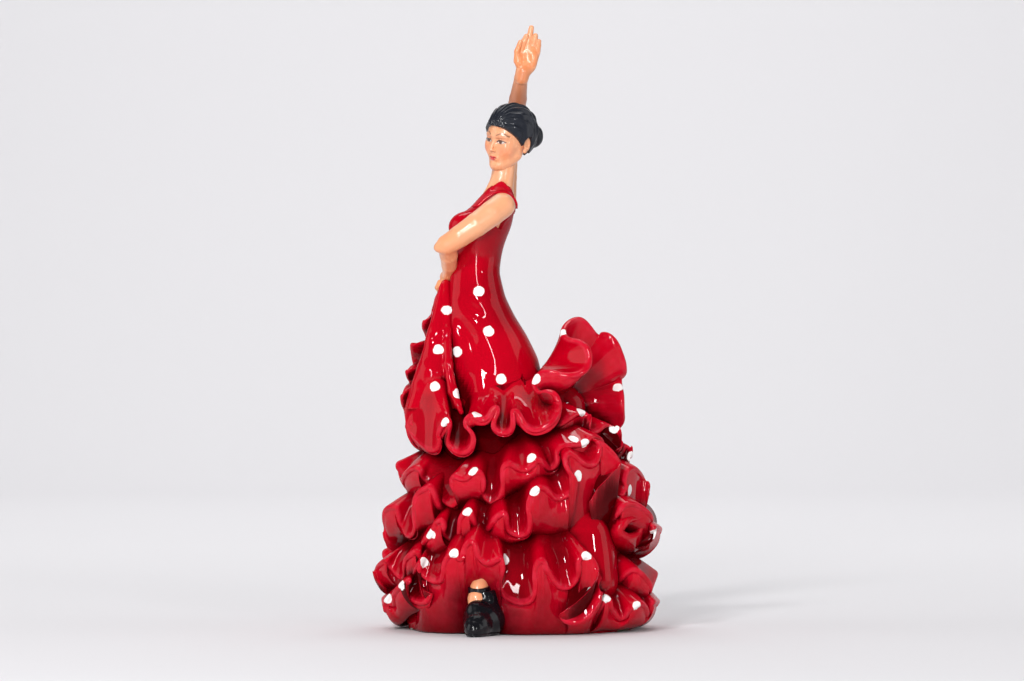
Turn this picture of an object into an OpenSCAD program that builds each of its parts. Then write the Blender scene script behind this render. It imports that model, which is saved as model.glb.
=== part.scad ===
// Flamenco dancer figurine: cast resin pieces, glued over steel dowels and painted.
// X runs to the viewer's right, Y away from the viewer, Z up from the standing surface.

/* [Figure] */
// Height from the standing surface to the tip of the raised hand
figure_h = 248; // [200:1:300]

/* [Skirt] */
// Half width of the skirt's core at the floor, left to right
skirt_ax = 47; // [43:1:52]
// Half depth of the skirt's core at the floor, front to back
skirt_ay = 42; // [38:1:47]
// Wall of the hollow skirt casting
skirt_wall = 6; // [4:0.5:9]

/* [Flounces] */
// Thickness of a flounce
flounce_t = 2.4; // [1.8:0.1:3]
// Height of a flounce, from its seam to its hem
flounce_drop = 15; // [13:0.5:17]
// How far a hem stands out from the skirt, before its folds
flounce_flare = 8; // [6:0.5:10]
// How far a fold swings in and out at the hem
fold_depth = 3.6; // [2:0.2:4.2]
// Glue gap between a flounce and the skirt
glue_gap = 0.3; // [0.1:0.1:0.8]

/* [Limbs] */
// Radius of the upper arms
arm_r = 4.6; // [4:0.1:5.5]
// Radius of the wrists
wrist_r = 2.6; // [2.2:0.1:3.2]
// Radius of a finger
finger_r = 1.05; // [0.9:0.05:1.3]

/* [Fixings] */
// Radius of the steel dowels in the neck and shoulders
pin_r = 1; // [0.8:0.1:1.4]
// Radius of the steel dowel between the skirt and the body
dowel_r = 3; // [2:0.5:4]
// Clearance between a dowel and its socket
pin_clear = 0.1; // [0.05:0.05:0.2]
// Thickness of the felt pad
felt_t = 1; // [0.6:0.1:2]
// Thickness of the board that closes the casting
board_t = 3; // [2:0.5:4]

/* [Hidden] */

design_h = 248;
k = figure_h / design_h;
ring_n = 48;
soft_fn = 16;

// Skirt core rings: height, centre in X, share of the half width, share of the half depth
skirt_rows = [
    [felt_t, 0, 1.00, 1.00],
    [13, 0, 0.99, 0.99],
    [33, -0.5, 0.94, 0.94],
    [50, -1.5, 0.87, 0.89],
    [70, -3.5, 0.76, 0.80],
    [85, -6, 0.64, 0.68],
    [97, -9, 0.47, 0.52],
];
// Dress body rings: height, centre in X, centre in Y, half width, half depth
body_rows = [
    [97.2, -9, 0, 22, 21.6],
    [106, -10.5, 0, 17.8, 17.8],
    [120, -13.5, 0, 13.6, 14.2],
    [134, -15.5, 0, 10.8, 12],
    [147, -17.6, 0, 8.6, 10],
    [156, -16, 0, 9.2, 10.8],
    [163, -16.2, 0, 11.2, 12],
    [168, -16.2, 0, 12.4, 12.4],
    [173, -12.6, 0, 10.4, 12],
    [176.5, -10, 0, 8.4, 11],
];
neck_rows = [
    [176.7, -9.6, 0, 7.8, 10.4],
    [179.5, -8.6, 0, 6.6, 9],
    [182, -7.6, 0, 5.4, 6.2],
    [185, -7, 0, 4.8, 4.9],
    [189, -6.6, 0, 4.6, 4.7],
];
// The cloth that the dancer lifts in front of her: a narrow gather at the hand, a wide fan below
panel_rows = [
    [95, -34, -2, 10, 19],
    [104, -34.5, -2, 8.6, 15.5],
    [114, -34, -1, 7, 12],
    [126, -32.5, 1, 5, 8],
    [137, -31, 4, 2.6, 3.6],
];

// Each tier, top to bottom: seam height at X = 0, rise per mm of X, folds, place of the first fold
tier_rows = [
    [96.5, 0.06, 14, 0],
    [79, 0.06, 15, 140],
    [61, 0.03, 17, 60],
    [43.5, 0, 18, 200],
    [25, 0, 18, 90],
    [5, 0, 0, 0],
];
// The tiers that stop short: the top one at the train, the lowest one at the foot
top_tier_span = [34, 336];
hem_tier_span = [-48, 222];

// Joints of the limbs
left_shoulder = [-6, -15.5, 172.5];
left_elbow = [-30, -19, 156.5];
left_wrist = [-30.5, 0, 145.5];
left_hand = [-31, 6, 141.5];
right_shoulder = [-4, 15.5, 179];
right_elbow = [-3, 31, 203];
right_wrist = [0.6, 11, 228.5];
head_at = [-4, -1, 199.5];
head_turn = -50;
head_roll = 10;
foot_at = [-16, -43, 9.5];
shoe_turn = -14;

// Points of an ellipse at a height
function ring(z, cx, cy, ax, ay, n = ring_n) =
    [for (i = [0:n - 1]) [cx + ax * cos(i * 360 / n), cy + ay * sin(i * 360 / n), z]];

// A closed solid through rings of equal length
module loft(rings) {
    n = len(rings[0]);
    m = len(rings);
    points = [for (r = rings) each r];
    sides = [for (j = [0:m - 2], i = [0:n - 1]) each [
        [j * n + i, (j + 1) * n + i, (j + 1) * n + (i + 1) % n],
        [j * n + i, (j + 1) * n + (i + 1) % n, j * n + (i + 1) % n]]];
    floor_face = [for (i = [0:n - 1]) i];
    top_face = [for (i = [n - 1:-1:0]) (m - 1) * n + i];
    polyhedron(points, concat(sides, [floor_face], [top_face]));
}

module loft_rows(rows, grow = 0, n = ring_n) {
    loft([for (r = rows) ring(r[0], r[1], r[2], r[3] + grow, r[4] + grow, n)]);
}

// Skirt core: its centre and half axes at any height
function skirt_column(c) = [for (r = skirt_rows) [r[0], r[c]]];
function core_cx(z) = lookup(z, skirt_column(1));
function core_ax(z) = skirt_ax * lookup(z, skirt_column(2));
function core_ay(z) = skirt_ay * lookup(z, skirt_column(3));
// A point at angle a and height z, a distance off the core
function off_core(a, z, d) =
    let (ax = core_ax(z), ay = core_ay(z), n = norm([ay * cos(a), ax * sin(a)]))
    [core_cx(z) + ax * cos(a) + d * ay * cos(a) / n, ay * sin(a) + d * ax * sin(a) / n, z];

// A sheet of even thickness through a grid of points, as one closed solid
function unit(v) = v / max(norm(v), 1e-6);
function grid_normal(g, i, j) =
    let (m = len(g), n = len(g[0]))
    unit(cross(g[min(i + 1, m - 1)][j] - g[max(i - 1, 0)][j], g[i][min(j + 1, n - 1)] - g[i][max(j - 1, 0)]));

module thick_sheet(g, t) {
    m = len(g);
    n = len(g[0]);
    loop = 2 * n;
    points = [for (i = [0:m - 1]) each concat(
        [for (j = [0:n - 1]) g[i][j] - t / 2 * grid_normal(g, i, j)],
        [for (j = [n - 1:-1:0]) g[i][j] + t / 2 * grid_normal(g, i, j)])];
    sides = [for (i = [0:m - 2], j = [0:loop - 1])
        let (a = i * loop + j, b = i * loop + (j + 1) % loop, c = b + loop, d = a + loop)
        each [[a, b, c], [a, c, d]]];
    first_end = [for (j = [loop - 1:-1:0]) j];
    last_end = [for (j = [0:loop - 1]) (m - 1) * loop + j];
    polyhedron(points, concat(sides, [first_end], [last_end]));
}

// Height of a tier's seam at an angle round the skirt
function seam_z(row, a) = row[0] + row[1] * (core_cx(row[0]) + core_ax(row[0]) * cos(a));

// Section of a flounce: share of the flare, share of the drop, share of the fold, rim thicknesses out and up
flounce_section = [
    [0, 0, 0, 0, 0],
    [0.6, 0.16, 0.2, 0, 0],
    [0.9, 0.55, 0.6, 0, 0],
    [1, 1, 1, -0.1, 1],
    [1, 1, 1, 0.35, 0.5],
    [1, 1, 1, -0.1, 0],
];

// Tier i at angle a: down the outside, round the hem, and back under to the seam of the next tier
function flounce_ring(i, a, swell) =
    let (row = tier_rows[i], top = seam_z(row, a), foot = seam_z(tier_rows[i + 1], a) + 0.6,
        swing = swell * fold_depth * cos(row[2] * a + row[3]),
        flare = flounce_flare * (0.45 + 0.55 * swell))
    concat(
        [for (s = flounce_section)
            off_core(a, top - s[1] * flounce_drop + s[2] * swing * 0.8 + s[4] * flounce_t,
                glue_gap + s[0] * flare + s[2] * swing + s[3] * flounce_t)],
        [off_core(a, (top - flounce_drop + foot + 0.8 * swing) / 2,
            glue_gap + 0.45 * flare + 0.4 * swing)],
        [off_core(a, foot, glue_gap)]);

module flounce(i, span = [0, 360]) {
    closed = span[1] - span[0] >= 360;
    m = round(tier_rows[i][2] * 8 * (span[1] - span[0]) / 360);
    step = (span[1] - span[0]) / (closed ? m : m - 1);
    rings = [for (j = [0:m - 1])
        let (a = span[0] + step * j)
        flounce_ring(i, a, closed ? 1 : min(1, min(a - span[0], span[1] - a) / 14))];
    n = len(rings[0]);
    points = [for (r = rings) each r];
    sides = [for (j = [0:(closed ? m - 1 : m - 2)], c = [0:n - 1])
        let (next = (j + 1) % m * n, d = (c + 1) % n)
        each [[j * n + c, j * n + d, next + d], [j * n + c, next + d, next + c]]];
    first_end = [for (c = [n - 1:-1:0]) c];
    last_end = [for (c = [0:n - 1]) (m - 1) * n + c];
    polyhedron(points, closed ? sides : concat(sides, [first_end], [last_end]));
}

// Two joined balls
module limb(a, ra, b, rb) {
    hull() {
        translate(a) sphere(ra, $fn = soft_fn);
        translate(b) sphere(rb, $fn = soft_fn);
    }
}

// A cylinder between two points
module rod(a, b, r) {
    d = b - a;
    translate(a)
        rotate([0, acos(d[2] / norm(d)), atan2(d[1], d[0])])
            cylinder(h = norm(d), r = r, $fn = 32);
}

module head_place() {
    translate(head_at) rotate([0, head_roll, 0]) rotate([0, 0, head_turn]) children();
}

/* ---- Skirt ---- */
waist_axis = [[-10.5, 0, 80], [-12.5, 0, 112]];
cavity_top = 60;
board_gap = 0.1;
board_z = felt_t + board_gap;
board_ax = skirt_ax - skirt_wall / 2;
board_ay = skirt_ay - skirt_wall / 2;
felt_inset = 1.5;

module skirt_solid(grow) {
    loft([for (r = skirt_rows) ring(r[0], r[1], 0, skirt_ax * r[2] + grow, skirt_ay * r[3] + grow)]);
}

module disc(z, h, ax, ay) {
    loft([ring(z, 0, 0, ax, ay), ring(z + h, 0, 0, ax, ay)]);
}

module skirt_core() {
    cavity = concat(
        [ring(board_z + 1, 0, 0, skirt_ax - skirt_wall, skirt_ay - skirt_wall)],
        [for (r = skirt_rows) if (r[0] > 10 && r[0] < cavity_top)
            ring(r[0], r[1], 0, skirt_ax * r[2] - skirt_wall, skirt_ay * r[3] - skirt_wall)],
        [ring(cavity_top, 0, 0, 20, 18)]);
    color("firebrick")
        difference() {
            skirt_solid(0);
            loft(cavity);
            disc(felt_t - 1, board_t + 1 + 2 * board_gap, board_ax + board_gap, board_ay + board_gap);
            rod(waist_axis[0], waist_axis[1], dowel_r + pin_clear);
            shoe_pocket();
        }
}

module base_board() {
    color("burlywood") disc(board_z, board_t, board_ax, board_ay);
}

module felt_pad() {
    color("darkgreen") disc(0, felt_t, skirt_ax - felt_inset, skirt_ay - felt_inset);
}

module waist_dowel() {
    color("silver") rod(waist_axis[0], waist_axis[1], dowel_r);
}

// The arch at the front of the skirt that the foot steps out of: its back and its mouth, as Y, Z and radius
pocket = [[-36, 11, 8], [-62, 8, 12]];

module shoe_pocket() {
    hull()
        for (b = pocket)
            translate([foot_at[0], b[0], b[1]]) sphere(b[2], $fn = 24);
}

/* ---- Flounces ---- */
module flounce_1() { color("crimson") flounce(0, top_tier_span); }
module flounce_2() { color("crimson") flounce(1); }
module flounce_3() { color("crimson") flounce(2); }
module flounce_4() { color("crimson") flounce(3); }
module hem_flounce() { color("crimson") flounce(4, hem_tier_span); }

// The train: a ruffled fan that stands up behind the dancer
train_root = [16, 2, 96];
train_span = [118, -31];
train_reach = 3;
train_depth = 26;
train_folds = 5.5;
train_swing = 5.5;

module train_flounce() {
    m = 64;
    grid = [for (i = [0:m - 1])
        let (s = i / (m - 1), a = train_span[0] + (train_span[1] - train_span[0]) * s)
        [for (v = [0, 0.35, 0.7, 1])
            let (reach = train_reach + v * train_depth * (0.9 + 0.1 * sin(360 * s)),
                swing = train_swing * pow(v, 1.3) * sin(train_folds * 360 * s))
            train_root + [reach * cos(a), 6 * v * sin(180 * s) + swing, reach * sin(a)]]];
    color("crimson")
        difference() {
            thick_sheet(grid, flounce_t);
            skirt_solid(glue_gap);
            loft_rows(body_rows, glue_gap);
        }
}

/* ---- Lifted cloth ---- */
module lifted_panel() {
    color("firebrick")
        difference() {
            loft_rows(panel_rows, 0, 36);
            loft_rows(body_rows, glue_gap);
            skirt_solid(glue_gap);
        }
}

// The ruffle down the panel's leading edge
module panel_ruffle() {
    m = 49;
    top = 134;
    bottom = 97;
    grid = [for (i = [0:m - 1])
        let (s = i / (m - 1), z = top + (bottom - top) * s,
            cx = lookup(z, [for (r = panel_rows) [r[0], r[1]]]),
            ax = lookup(z, [for (r = panel_rows) [r[0], r[3]]]),
            cy = lookup(z, [for (r = panel_rows) [r[0], r[2]]]),
            fold = 6 * 360 * s)
        [for (v = [0, 0.5, 1])
            [cx - ax - glue_gap - 0.4 - v * (2 + 2 * sin(180 * s)),
                cy + 2.6 * v * sin(fold), z + 1.6 * v * cos(fold)]]];
    color("crimson") thick_sheet(grid, 1.8);
}

/* ---- Dress body ---- */
module dress_body() {
    color("firebrick")
        difference() {
            loft_rows(body_rows);
            rod(waist_axis[0], waist_axis[1] + [0, 0, 0.2], dowel_r + pin_clear);
            rod(neck_axis[0], neck_axis[1], pin_r + pin_clear);
        }
}

// A strap over each shoulder: points along it in X and Z
strap_path = [
    [-22.6, 170.5], [-19.8, 174], [-15.2, 177.6], [-10, 180.8],
    [-5.8, 178.6], [-4.6, 175.6], [-5.3, 172],
];
strap_y = 8.4;
strap_w = 3.4;
strap_t = 1.4;

module shoulder_straps() {
    color("firebrick")
        for (side = [-1, 1])
            difference() {
                thick_sheet(
                    [for (p = strap_path)
                        [for (e = [-1, 0, 1]) [p[0], side * strap_y + e * strap_w / 2, p[1] - 0.5 * abs(e)]]],
                    strap_t);
                loft_rows(body_rows, 0.15);
                loft_rows(neck_rows, 0.15);
            }
}

/* ---- Neck and head ---- */
neck_axis = [[-9, 0, 168], [-6.6, 0, 195]];

module neck_and_chest() {
    color("peachpuff")
        difference() {
            loft_rows(neck_rows);
            rod(neck_axis[0], neck_axis[1], pin_r + pin_clear);
        }
}

module neck_dowel() { color("silver") rod(neck_axis[0], neck_axis[1] - [0, 0, 0.3], pin_r); }

// Head rings in its own place: height, centre in Y, half width, half depth
head_rows = [
    [-13.6, -7, 2.2, 2],
    [-12, -6, 4.4, 4.4],
    [-8, -3.4, 6.8, 7.6],
    [-3, -1, 8.2, 9.8],
    [3, 0.2, 8.9, 10.6],
    [8, 0.6, 8.2, 9.8],
    [11.6, 0.8, 5.6, 7],
    [13, 0.8, 2.4, 3.2],
];

// In the head's own place: the ends of the nose, and of one ear
nose = [[0, -10.4, -1], [0, -11.6, -4.4]];
ear = [[8.3, 1.5, 0.5], [7.6, 0.8, -3.6]];
ear_gap = [7.6, 0.8, -9];

module head() {
    color("peachpuff")
        difference() {
            head_place() union() {
                loft([for (r = head_rows) ring(r[0], 0, r[1], r[2], r[3], 28)]);
                limb(nose[0], 0.8, nose[1], 1.2);
                for (m = [0, 1])
                    mirror([m, 0, 0]) limb(ear[0], 1.5, ear[1], 1);
            }
            rod(neck_axis[0], neck_axis[1], pin_r + pin_clear);
            loft_rows(neck_rows, 0.15, 36);
        }
}

// The hair stands off the head all round, and a little more on the crown
hair_t = 1.1;
hair_gap = 0.15;
crown_z = 10;
nape_z = -9;

module hair_cap() {
    color("black")
        head_place() difference() {
            loft([for (r = head_rows) if (r[0] > nape_z)
                ring(r[0] + (r[0] > crown_z ? 1.4 : 0), 0, r[1] + 0.5, r[2] + hair_t, r[3] + hair_t, 28)]);
            loft([for (r = head_rows) ring(r[0], 0, r[1], r[2] + hair_gap, r[3] + hair_gap, 28)]);
            rotate([-38, 0, 0]) translate([0, -20, -12]) cube([40, 34, 40], center = true);
            for (m = [0, 1])
                mirror([m, 0, 0]) hull() {
                    translate(ear[0]) sphere(2.2, $fn = 12);
                    translate(ear_gap) sphere(3.2, $fn = 12);
                }
        }
}

// The bun: a flattened ball behind the head
bun_at = [0, 14.5, 1];
bun_r = 5;
bun_depth = 2.6;

module hair_bun() {
    color("black") head_place()
        loft([for (i = [0:8]) let (a = -80 + 20 * i)
            [for (j = [0:23]) bun_at + [bun_r * cos(a) * cos(-15 * j), bun_depth * sin(a),
                bun_r * cos(a) * sin(-15 * j)]]]);
}

flower_at = [-4, 10.6, 10.6];
flower_tilt = [-48, -18, 0];
flower_r = 1.9;
petals = 5;
petal_r = 1.7;
petal_reach = 2.5;

module hair_flower() {
    color("crimson") head_place() translate(flower_at) rotate(flower_tilt) {
        sphere(flower_r, $fn = soft_fn);
        for (i = [0:petals - 1])
            rotate([0, 0, i * 360 / petals]) translate([petal_reach, 0, -0.6]) sphere(petal_r, $fn = soft_fn);
    }
}

/* ---- Arms ---- */
module arm_sockets() {
    for (a = arm_axes) rod(a[0], a[1], pin_r + pin_clear);
}

arm_axes = [
    [[-9, -5, 171.5], [-6, -15, 172.5]],
    [[-7, 6, 174.5], [-4.2, 14.5, 178.4]],
];

module arm_dowels() {
    color("silver") for (a = arm_axes) rod(a[0], a[1], pin_r);
}

module bent_arm() {
    mid = (left_shoulder + left_elbow) / 2;
    color("peachpuff")
        difference() {
            union() {
                limb(left_shoulder, arm_r + 1, mid, arm_r);
                limb(mid, arm_r, left_elbow, arm_r - 0.2);
                limb(left_elbow, arm_r - 0.2, left_wrist, wrist_r);
                limb(left_wrist, wrist_r, left_hand, 3.2);
                limb(left_hand, 3.2, left_hand + [0.5, 2.5, -3.5], 1.8);
            }
            loft_rows(body_rows, 0.15, 36);
            loft_rows(panel_rows, 0.15, 36);
            arm_sockets();
        }
}

module raised_arm() {
    forearm = right_elbow + (right_wrist - right_elbow) * 0.3;
    color("peachpuff")
        difference() {
            union() {
                limb(right_shoulder, arm_r + 0.6, right_elbow, arm_r - 0.6);
                limb(right_elbow, arm_r - 0.6, forearm, arm_r - 0.6);
                limb(forearm, arm_r - 0.6, right_wrist, wrist_r);
            }
            loft_rows(body_rows, 0.15, 36);
            loft_rows(neck_rows, 0.15, 36);
            arm_sockets();
        }
}

// Fingers: root offset across the palm, length, lean forward
fingers = [[-3.9, 6.6, -0.6], [-1.5, 8, -1.2], [1.1, 10.25, -1.6], [3.6, 7.4, -0.8]];
palm_at = right_wrist + [1.6, -1.6, 6.2];
palm_r = 2.4;

module raised_hand() {
    color("peachpuff")
        difference() {
            union() {
                hull() {
                    translate(right_wrist + [0.1, -0.1, 1]) sphere(wrist_r - 0.1, $fn = soft_fn);
                    for (corner = [[-2.9, 0, 0], [2.9, 0, 1.5]])
                        translate(palm_at + corner) sphere(palm_r, $fn = soft_fn);
                }
                for (f = fingers)
                    limb(palm_at + [f[0], 0, 1], finger_r + 0.25,
                        palm_at + [f[0] + 1, f[2], 2 + f[1]], finger_r);
                limb(palm_at + [3.4, -0.6, -2], 1.5, palm_at + [4.8, -2.2, 3.4], finger_r);
            }
            limb(right_wrist - [0.4, -1.4, 2], wrist_r + 0.6, right_wrist, wrist_r + 0.1);
        }
}

/* ---- Foot ---- */
// In the shoe's own place: the leg, the ankle and the instep
leg_at = [0, 2.5, 16];
leg_r = 4;
ankle_at = [0, 0, 8];
ankle_r = 3.7;
instep_at = [0, -6.5, 0.5];
instep_r = 3;
// Balls that make up the shoe, and the opening over the instep: place and radius
shoe_balls = [
    [[0, -11.6, -6.2], 3.2],
    [[0, -5, -4.6], 5],
    [[0, 3, 1.4], 4.6],
    [[0, 2, -5.6], 4],
];
opening_balls = [
    [[0, -6.5, 4], 4],
    [[0, 3, 9], 4.8],
];

module shoe_place() { translate(foot_at) rotate([0, 0, shoe_turn]) children(); }

module front_foot() {
    color("peachpuff")
        difference() {
            shoe_place() union() {
                limb(leg_at, leg_r, ankle_at, ankle_r);
                limb(ankle_at, ankle_r, instep_at, instep_r);
            }
            shoe_solid(0.15);
        }
}

// The shoe, with a flat sole at the floor
module shoe_solid(grow) {
    difference() {
        shoe_place() difference() {
            hull()
                for (b = shoe_balls) translate(b[0]) sphere(b[1] + grow, $fn = 24);
            hull()
                for (b = opening_balls) translate(b[0]) sphere(b[1], $fn = 24);
        }
        translate([-50, -90, -10]) cube([60, 80, 10]);
    }
}

module dance_shoe() { color("black") shoe_solid(0); }

strap_at = [0, 0.4, 7.2];
strap_tilt = 20;
strap_ring_r = 4.45;

module ankle_strap() {
    color("black") shoe_place() translate(strap_at) rotate([strap_tilt, 0, 0])
        rotate_extrude($fn = 48) translate([strap_ring_r, 0]) square([0.8, 1.8], center = true);
}

scale(k) skirt_core();
scale(k) base_board();
scale(k) felt_pad();
scale(k) waist_dowel();
scale(k) flounce_1();
scale(k) flounce_2();
scale(k) flounce_3();
scale(k) flounce_4();
scale(k) hem_flounce();
scale(k) train_flounce();
scale(k) lifted_panel();
scale(k) panel_ruffle();
scale(k) dress_body();
scale(k) shoulder_straps();
scale(k) neck_and_chest();
scale(k) neck_dowel();
scale(k) head();
scale(k) hair_cap();
scale(k) hair_bun();
scale(k) hair_flower();
scale(k) bent_arm();
scale(k) raised_arm();
scale(k) raised_hand();
scale(k) arm_dowels();
scale(k) front_foot();
scale(k) dance_shoe();
scale(k) ankle_strap();
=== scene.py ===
import math
import bpy
import numpy as np
import openvdb as vdb
from mathutils import Euler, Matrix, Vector


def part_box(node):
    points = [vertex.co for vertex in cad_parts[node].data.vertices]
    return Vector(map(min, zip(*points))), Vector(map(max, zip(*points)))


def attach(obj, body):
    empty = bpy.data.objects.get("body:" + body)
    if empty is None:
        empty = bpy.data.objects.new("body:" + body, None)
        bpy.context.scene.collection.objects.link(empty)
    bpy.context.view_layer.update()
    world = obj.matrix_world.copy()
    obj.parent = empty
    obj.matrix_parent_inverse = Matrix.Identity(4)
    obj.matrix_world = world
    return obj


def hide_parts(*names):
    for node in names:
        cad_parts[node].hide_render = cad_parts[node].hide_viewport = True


# A flamenco dancer figurine in painted resin. Lengths are in millimetres until make_mesh.
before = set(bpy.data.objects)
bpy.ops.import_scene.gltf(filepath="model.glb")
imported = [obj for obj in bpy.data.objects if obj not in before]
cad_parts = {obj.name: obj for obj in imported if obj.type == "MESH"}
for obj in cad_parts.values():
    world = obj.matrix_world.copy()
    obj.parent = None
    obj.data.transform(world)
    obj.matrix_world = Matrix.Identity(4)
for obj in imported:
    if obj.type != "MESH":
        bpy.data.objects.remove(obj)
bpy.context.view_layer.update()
MM = 0.001
# Distance between samples along a hem
GAP = 0.55
SIDES = (-1, 1)


# ---------------------------------------------------------------- numbers
def unit(v):
    return v / np.maximum(np.linalg.norm(v, axis=-1, keepdims=True), 1e-9)


def soft_step(x, lo, hi):
    t = np.clip((x - lo) / (hi - lo), 0, 1)
    return t * t * (3 - 2 * t)


def between(x, start, top, fall, end):
    """Rises from start to top, then falls from fall to end."""
    return soft_step(x, start, top) * (1 - soft_step(x, fall, end))


def bell(x, width):
    return np.exp(-(x / width) ** 2)


def kernel(half, sigma):
    """Weights of an average over 2 * half + 1 samples."""
    w = np.exp(-0.5 * (np.arange(-half, half + 1) / sigma) ** 2)
    return w / w.sum()


def blend_min(a, b, k):
    """The smaller of two distances, with a fillet about as wide as k."""
    if k <= 0:
        return np.minimum(a, b)
    h = np.clip(0.5 + 0.5 * (b - a) / k, 0, 1)
    return b + (a - b) * h - k * h * (1 - h)


def bezier(points, t):
    """Rows of Bezier curves whose control points are rows too."""
    k = len(points) - 1
    return sum(math.comb(k, i) * t ** i * (1 - t) ** (k - i) * p[:, None] for i, p in enumerate(points))


def gradient(a, axis, closed):
    return (np.roll(a, -1, axis) - np.roll(a, 1, axis)) / 2 if closed else np.gradient(a, axis=axis)


def degrees_of(rows):
    """The angle of each row's facing, which is in columns 3 and 4."""
    return np.degrees(np.arctan2(rows[:, 4], rows[:, 3]))


# ---------------------------------------------------------------- meshes
def make_mesh(name, verts, quads, values=None, colour=None):
    verts = np.asarray(verts, np.float32) * MM
    quads = np.asarray(quads, np.int32)
    me = bpy.data.meshes.new(name)
    me.vertices.add(len(verts))
    me.vertices.foreach_set("co", verts.ravel())
    me.loops.add(quads.size)
    me.loops.foreach_set("vertex_index", quads.ravel())
    me.polygons.add(len(quads))
    me.polygons.foreach_set("loop_start", np.arange(0, quads.size, 4, dtype=np.int32))
    me.update(calc_edges=True)
    me.validate()
    me.polygons.foreach_set("use_smooth", np.ones(len(me.polygons), bool))
    for key, value in (values or {}).items():
        spread = np.ascontiguousarray(np.broadcast_to(np.asarray(value, np.float32), len(verts)))
        me.attributes.new(key, "FLOAT", "POINT").data.foreach_set("value", spread)
    if colour is not None:
        rgba = np.ones((len(verts), 4), np.float32)
        rgba[:, :3] = colour
        me.color_attributes.new("paint", "FLOAT_COLOR", "POINT").data.foreach_set("color", rgba.ravel())
    ob = bpy.data.objects.new(name, me)
    bpy.context.scene.collection.objects.link(ob)
    return ob


def outward(verts, quads):
    """Turns the faces so that the closed mesh has a positive volume."""
    a, b, c, d = (verts[quads[:, i]] for i in range(4))
    volume = (np.cross(b - a, c - a) * a).sum() + (np.cross(c - a, d - a) * a).sum()
    return quads if volume > 0 else quads[:, ::-1]


def cap(first, m, back):
    """Quads that close the end of an open ruffle."""
    lo = np.arange((m - 1) // 2)
    hi = m - 1 - lo
    q = np.stack([first + lo, first + lo + 1, first + hi - 1, first + hi], 1)
    return q[:, ::-1] if back else q


def grid_faces(n, m, closed):
    """Faces of an n by m grid that closes on itself in its second direction."""
    i, j = np.meshgrid(np.arange(n if closed else n - 1), np.arange(m), indexing="ij")
    i2, j2 = (i + 1) % n, (j + 1) % m
    quads = np.stack([i * m + j, i2 * m + j, i2 * m + j2, i * m + j2], -1).reshape(-1, 4)
    return quads if closed else np.vstack([quads, cap(0, m, False), cap((n - 1) * m, m, True)])


def joined(*parts):
    """One set of vertices, faces, tone, and rim wear with painted highlight, from several (surface, closed)
    pairs.
    """
    verts, quads, tone, edge, start = [], [], [], [], 0
    for (grid, t, e), closed in parts:
        flat = grid.reshape(-1, 3)
        verts.append(flat)
        quads.append(outward(flat, grid_faces(*grid.shape[:2], closed)) + start)
        tone.append(t.ravel())
        edge.append(e.ravel())
        start += len(flat)
    return np.vstack(verts), np.vstack(quads), np.concatenate(tone), np.concatenate(edge)


class Clay:
    """A block of signed distances, negative inside, sculpted with balls and cones."""

    EMPTY, SHELL = 50, 10

    def __init__(self, lo, hi, step):
        self.lo, self.step = np.array(lo, float), step * 1
        n = np.ceil((np.array(hi, float) - self.lo) / self.step).astype(int) + 1
        axes = [(self.lo[i] + self.step * np.arange(n[i])).astype(np.float32) for i in range(3)]
        self.x, self.y, self.z = axes[0][:, None, None], axes[1][None, :, None], axes[2][None, None, :]
        self.d = np.full(n, self.EMPTY, np.float32)

    def place(self, centre, turn):
        """Later shapes are given in a turned frame with its origin at centre."""
        m = np.array(turn.to_matrix()).T
        x, y, z = self.x - centre[0], self.y - centre[1], self.z - centre[2]
        self.x, self.y, self.z = ((row[0] * x + row[1] * y + row[2] * z).astype(np.float32) for row in m)
        return self

    def ball(self, c, r):
        """An ellipsoid; r is one radius or three."""
        r = np.broadcast_to(np.array(r, float), 3)
        x, y, z = self.x - c[0], self.y - c[1], self.z - c[2]
        k0 = np.sqrt((x / r[0]) ** 2 + (y / r[1]) ** 2 + (z / r[2]) ** 2)
        k1 = np.sqrt((x / r[0] ** 2) ** 2 + (y / r[1] ** 2) ** 2 + (z / r[2] ** 2) ** 2)
        return k0 * (k0 - 1) / np.maximum(k1, 1e-5)

    def cone(self, a, b, ra, rb):
        """A round-ended cone from a to b."""
        a, b = np.array(a, float), np.array(b, float)
        d = b - a
        x, y, z = self.x - a[0], self.y - a[1], self.z - a[2]
        h = np.clip((x * d[0] + y * d[1] + z * d[2]) / (d @ d), 0, 1)
        return np.sqrt((x - h * d[0]) ** 2 + (y - h * d[1]) ** 2 + (z - h * d[2]) ** 2) - (ra + (rb - ra) * h)

    def add(self, shape, k=0.0):
        self.d = blend_min(self.d, shape, k)

    def cut(self, shape, k=0.0):
        self.d = -blend_min(-self.d, shape, k)

    def keep(self, limit):
        """Trims away everything where limit is positive."""
        self.d = np.maximum(self.d, limit)

    def limb(self, points, k=0.8):
        """Cones through points of (place, radius)."""
        for (a, ra), (b, rb) in zip(points, points[1:]):
            self.add(self.cone(a, b, ra, rb), k)

    def mesh(self):
        g = vdb.FloatGrid(float(self.SHELL))
        g.copyFromArray(np.clip(self.d, -self.SHELL, self.SHELL).astype(np.float32))
        p, q = g.convertToQuads(0.0)
        p = np.asarray(p, float) * self.step + self.lo
        q = np.asarray(q, np.int64)
        return p, outward(p, q)

    def painted(self, tone, edge=0.0):
        """The mesh with one tone, and one amount of wear with painted highlight, all over."""
        v, q = self.mesh()
        return v, q, np.full(len(v), tone), np.full(len(v), edge)


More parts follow.
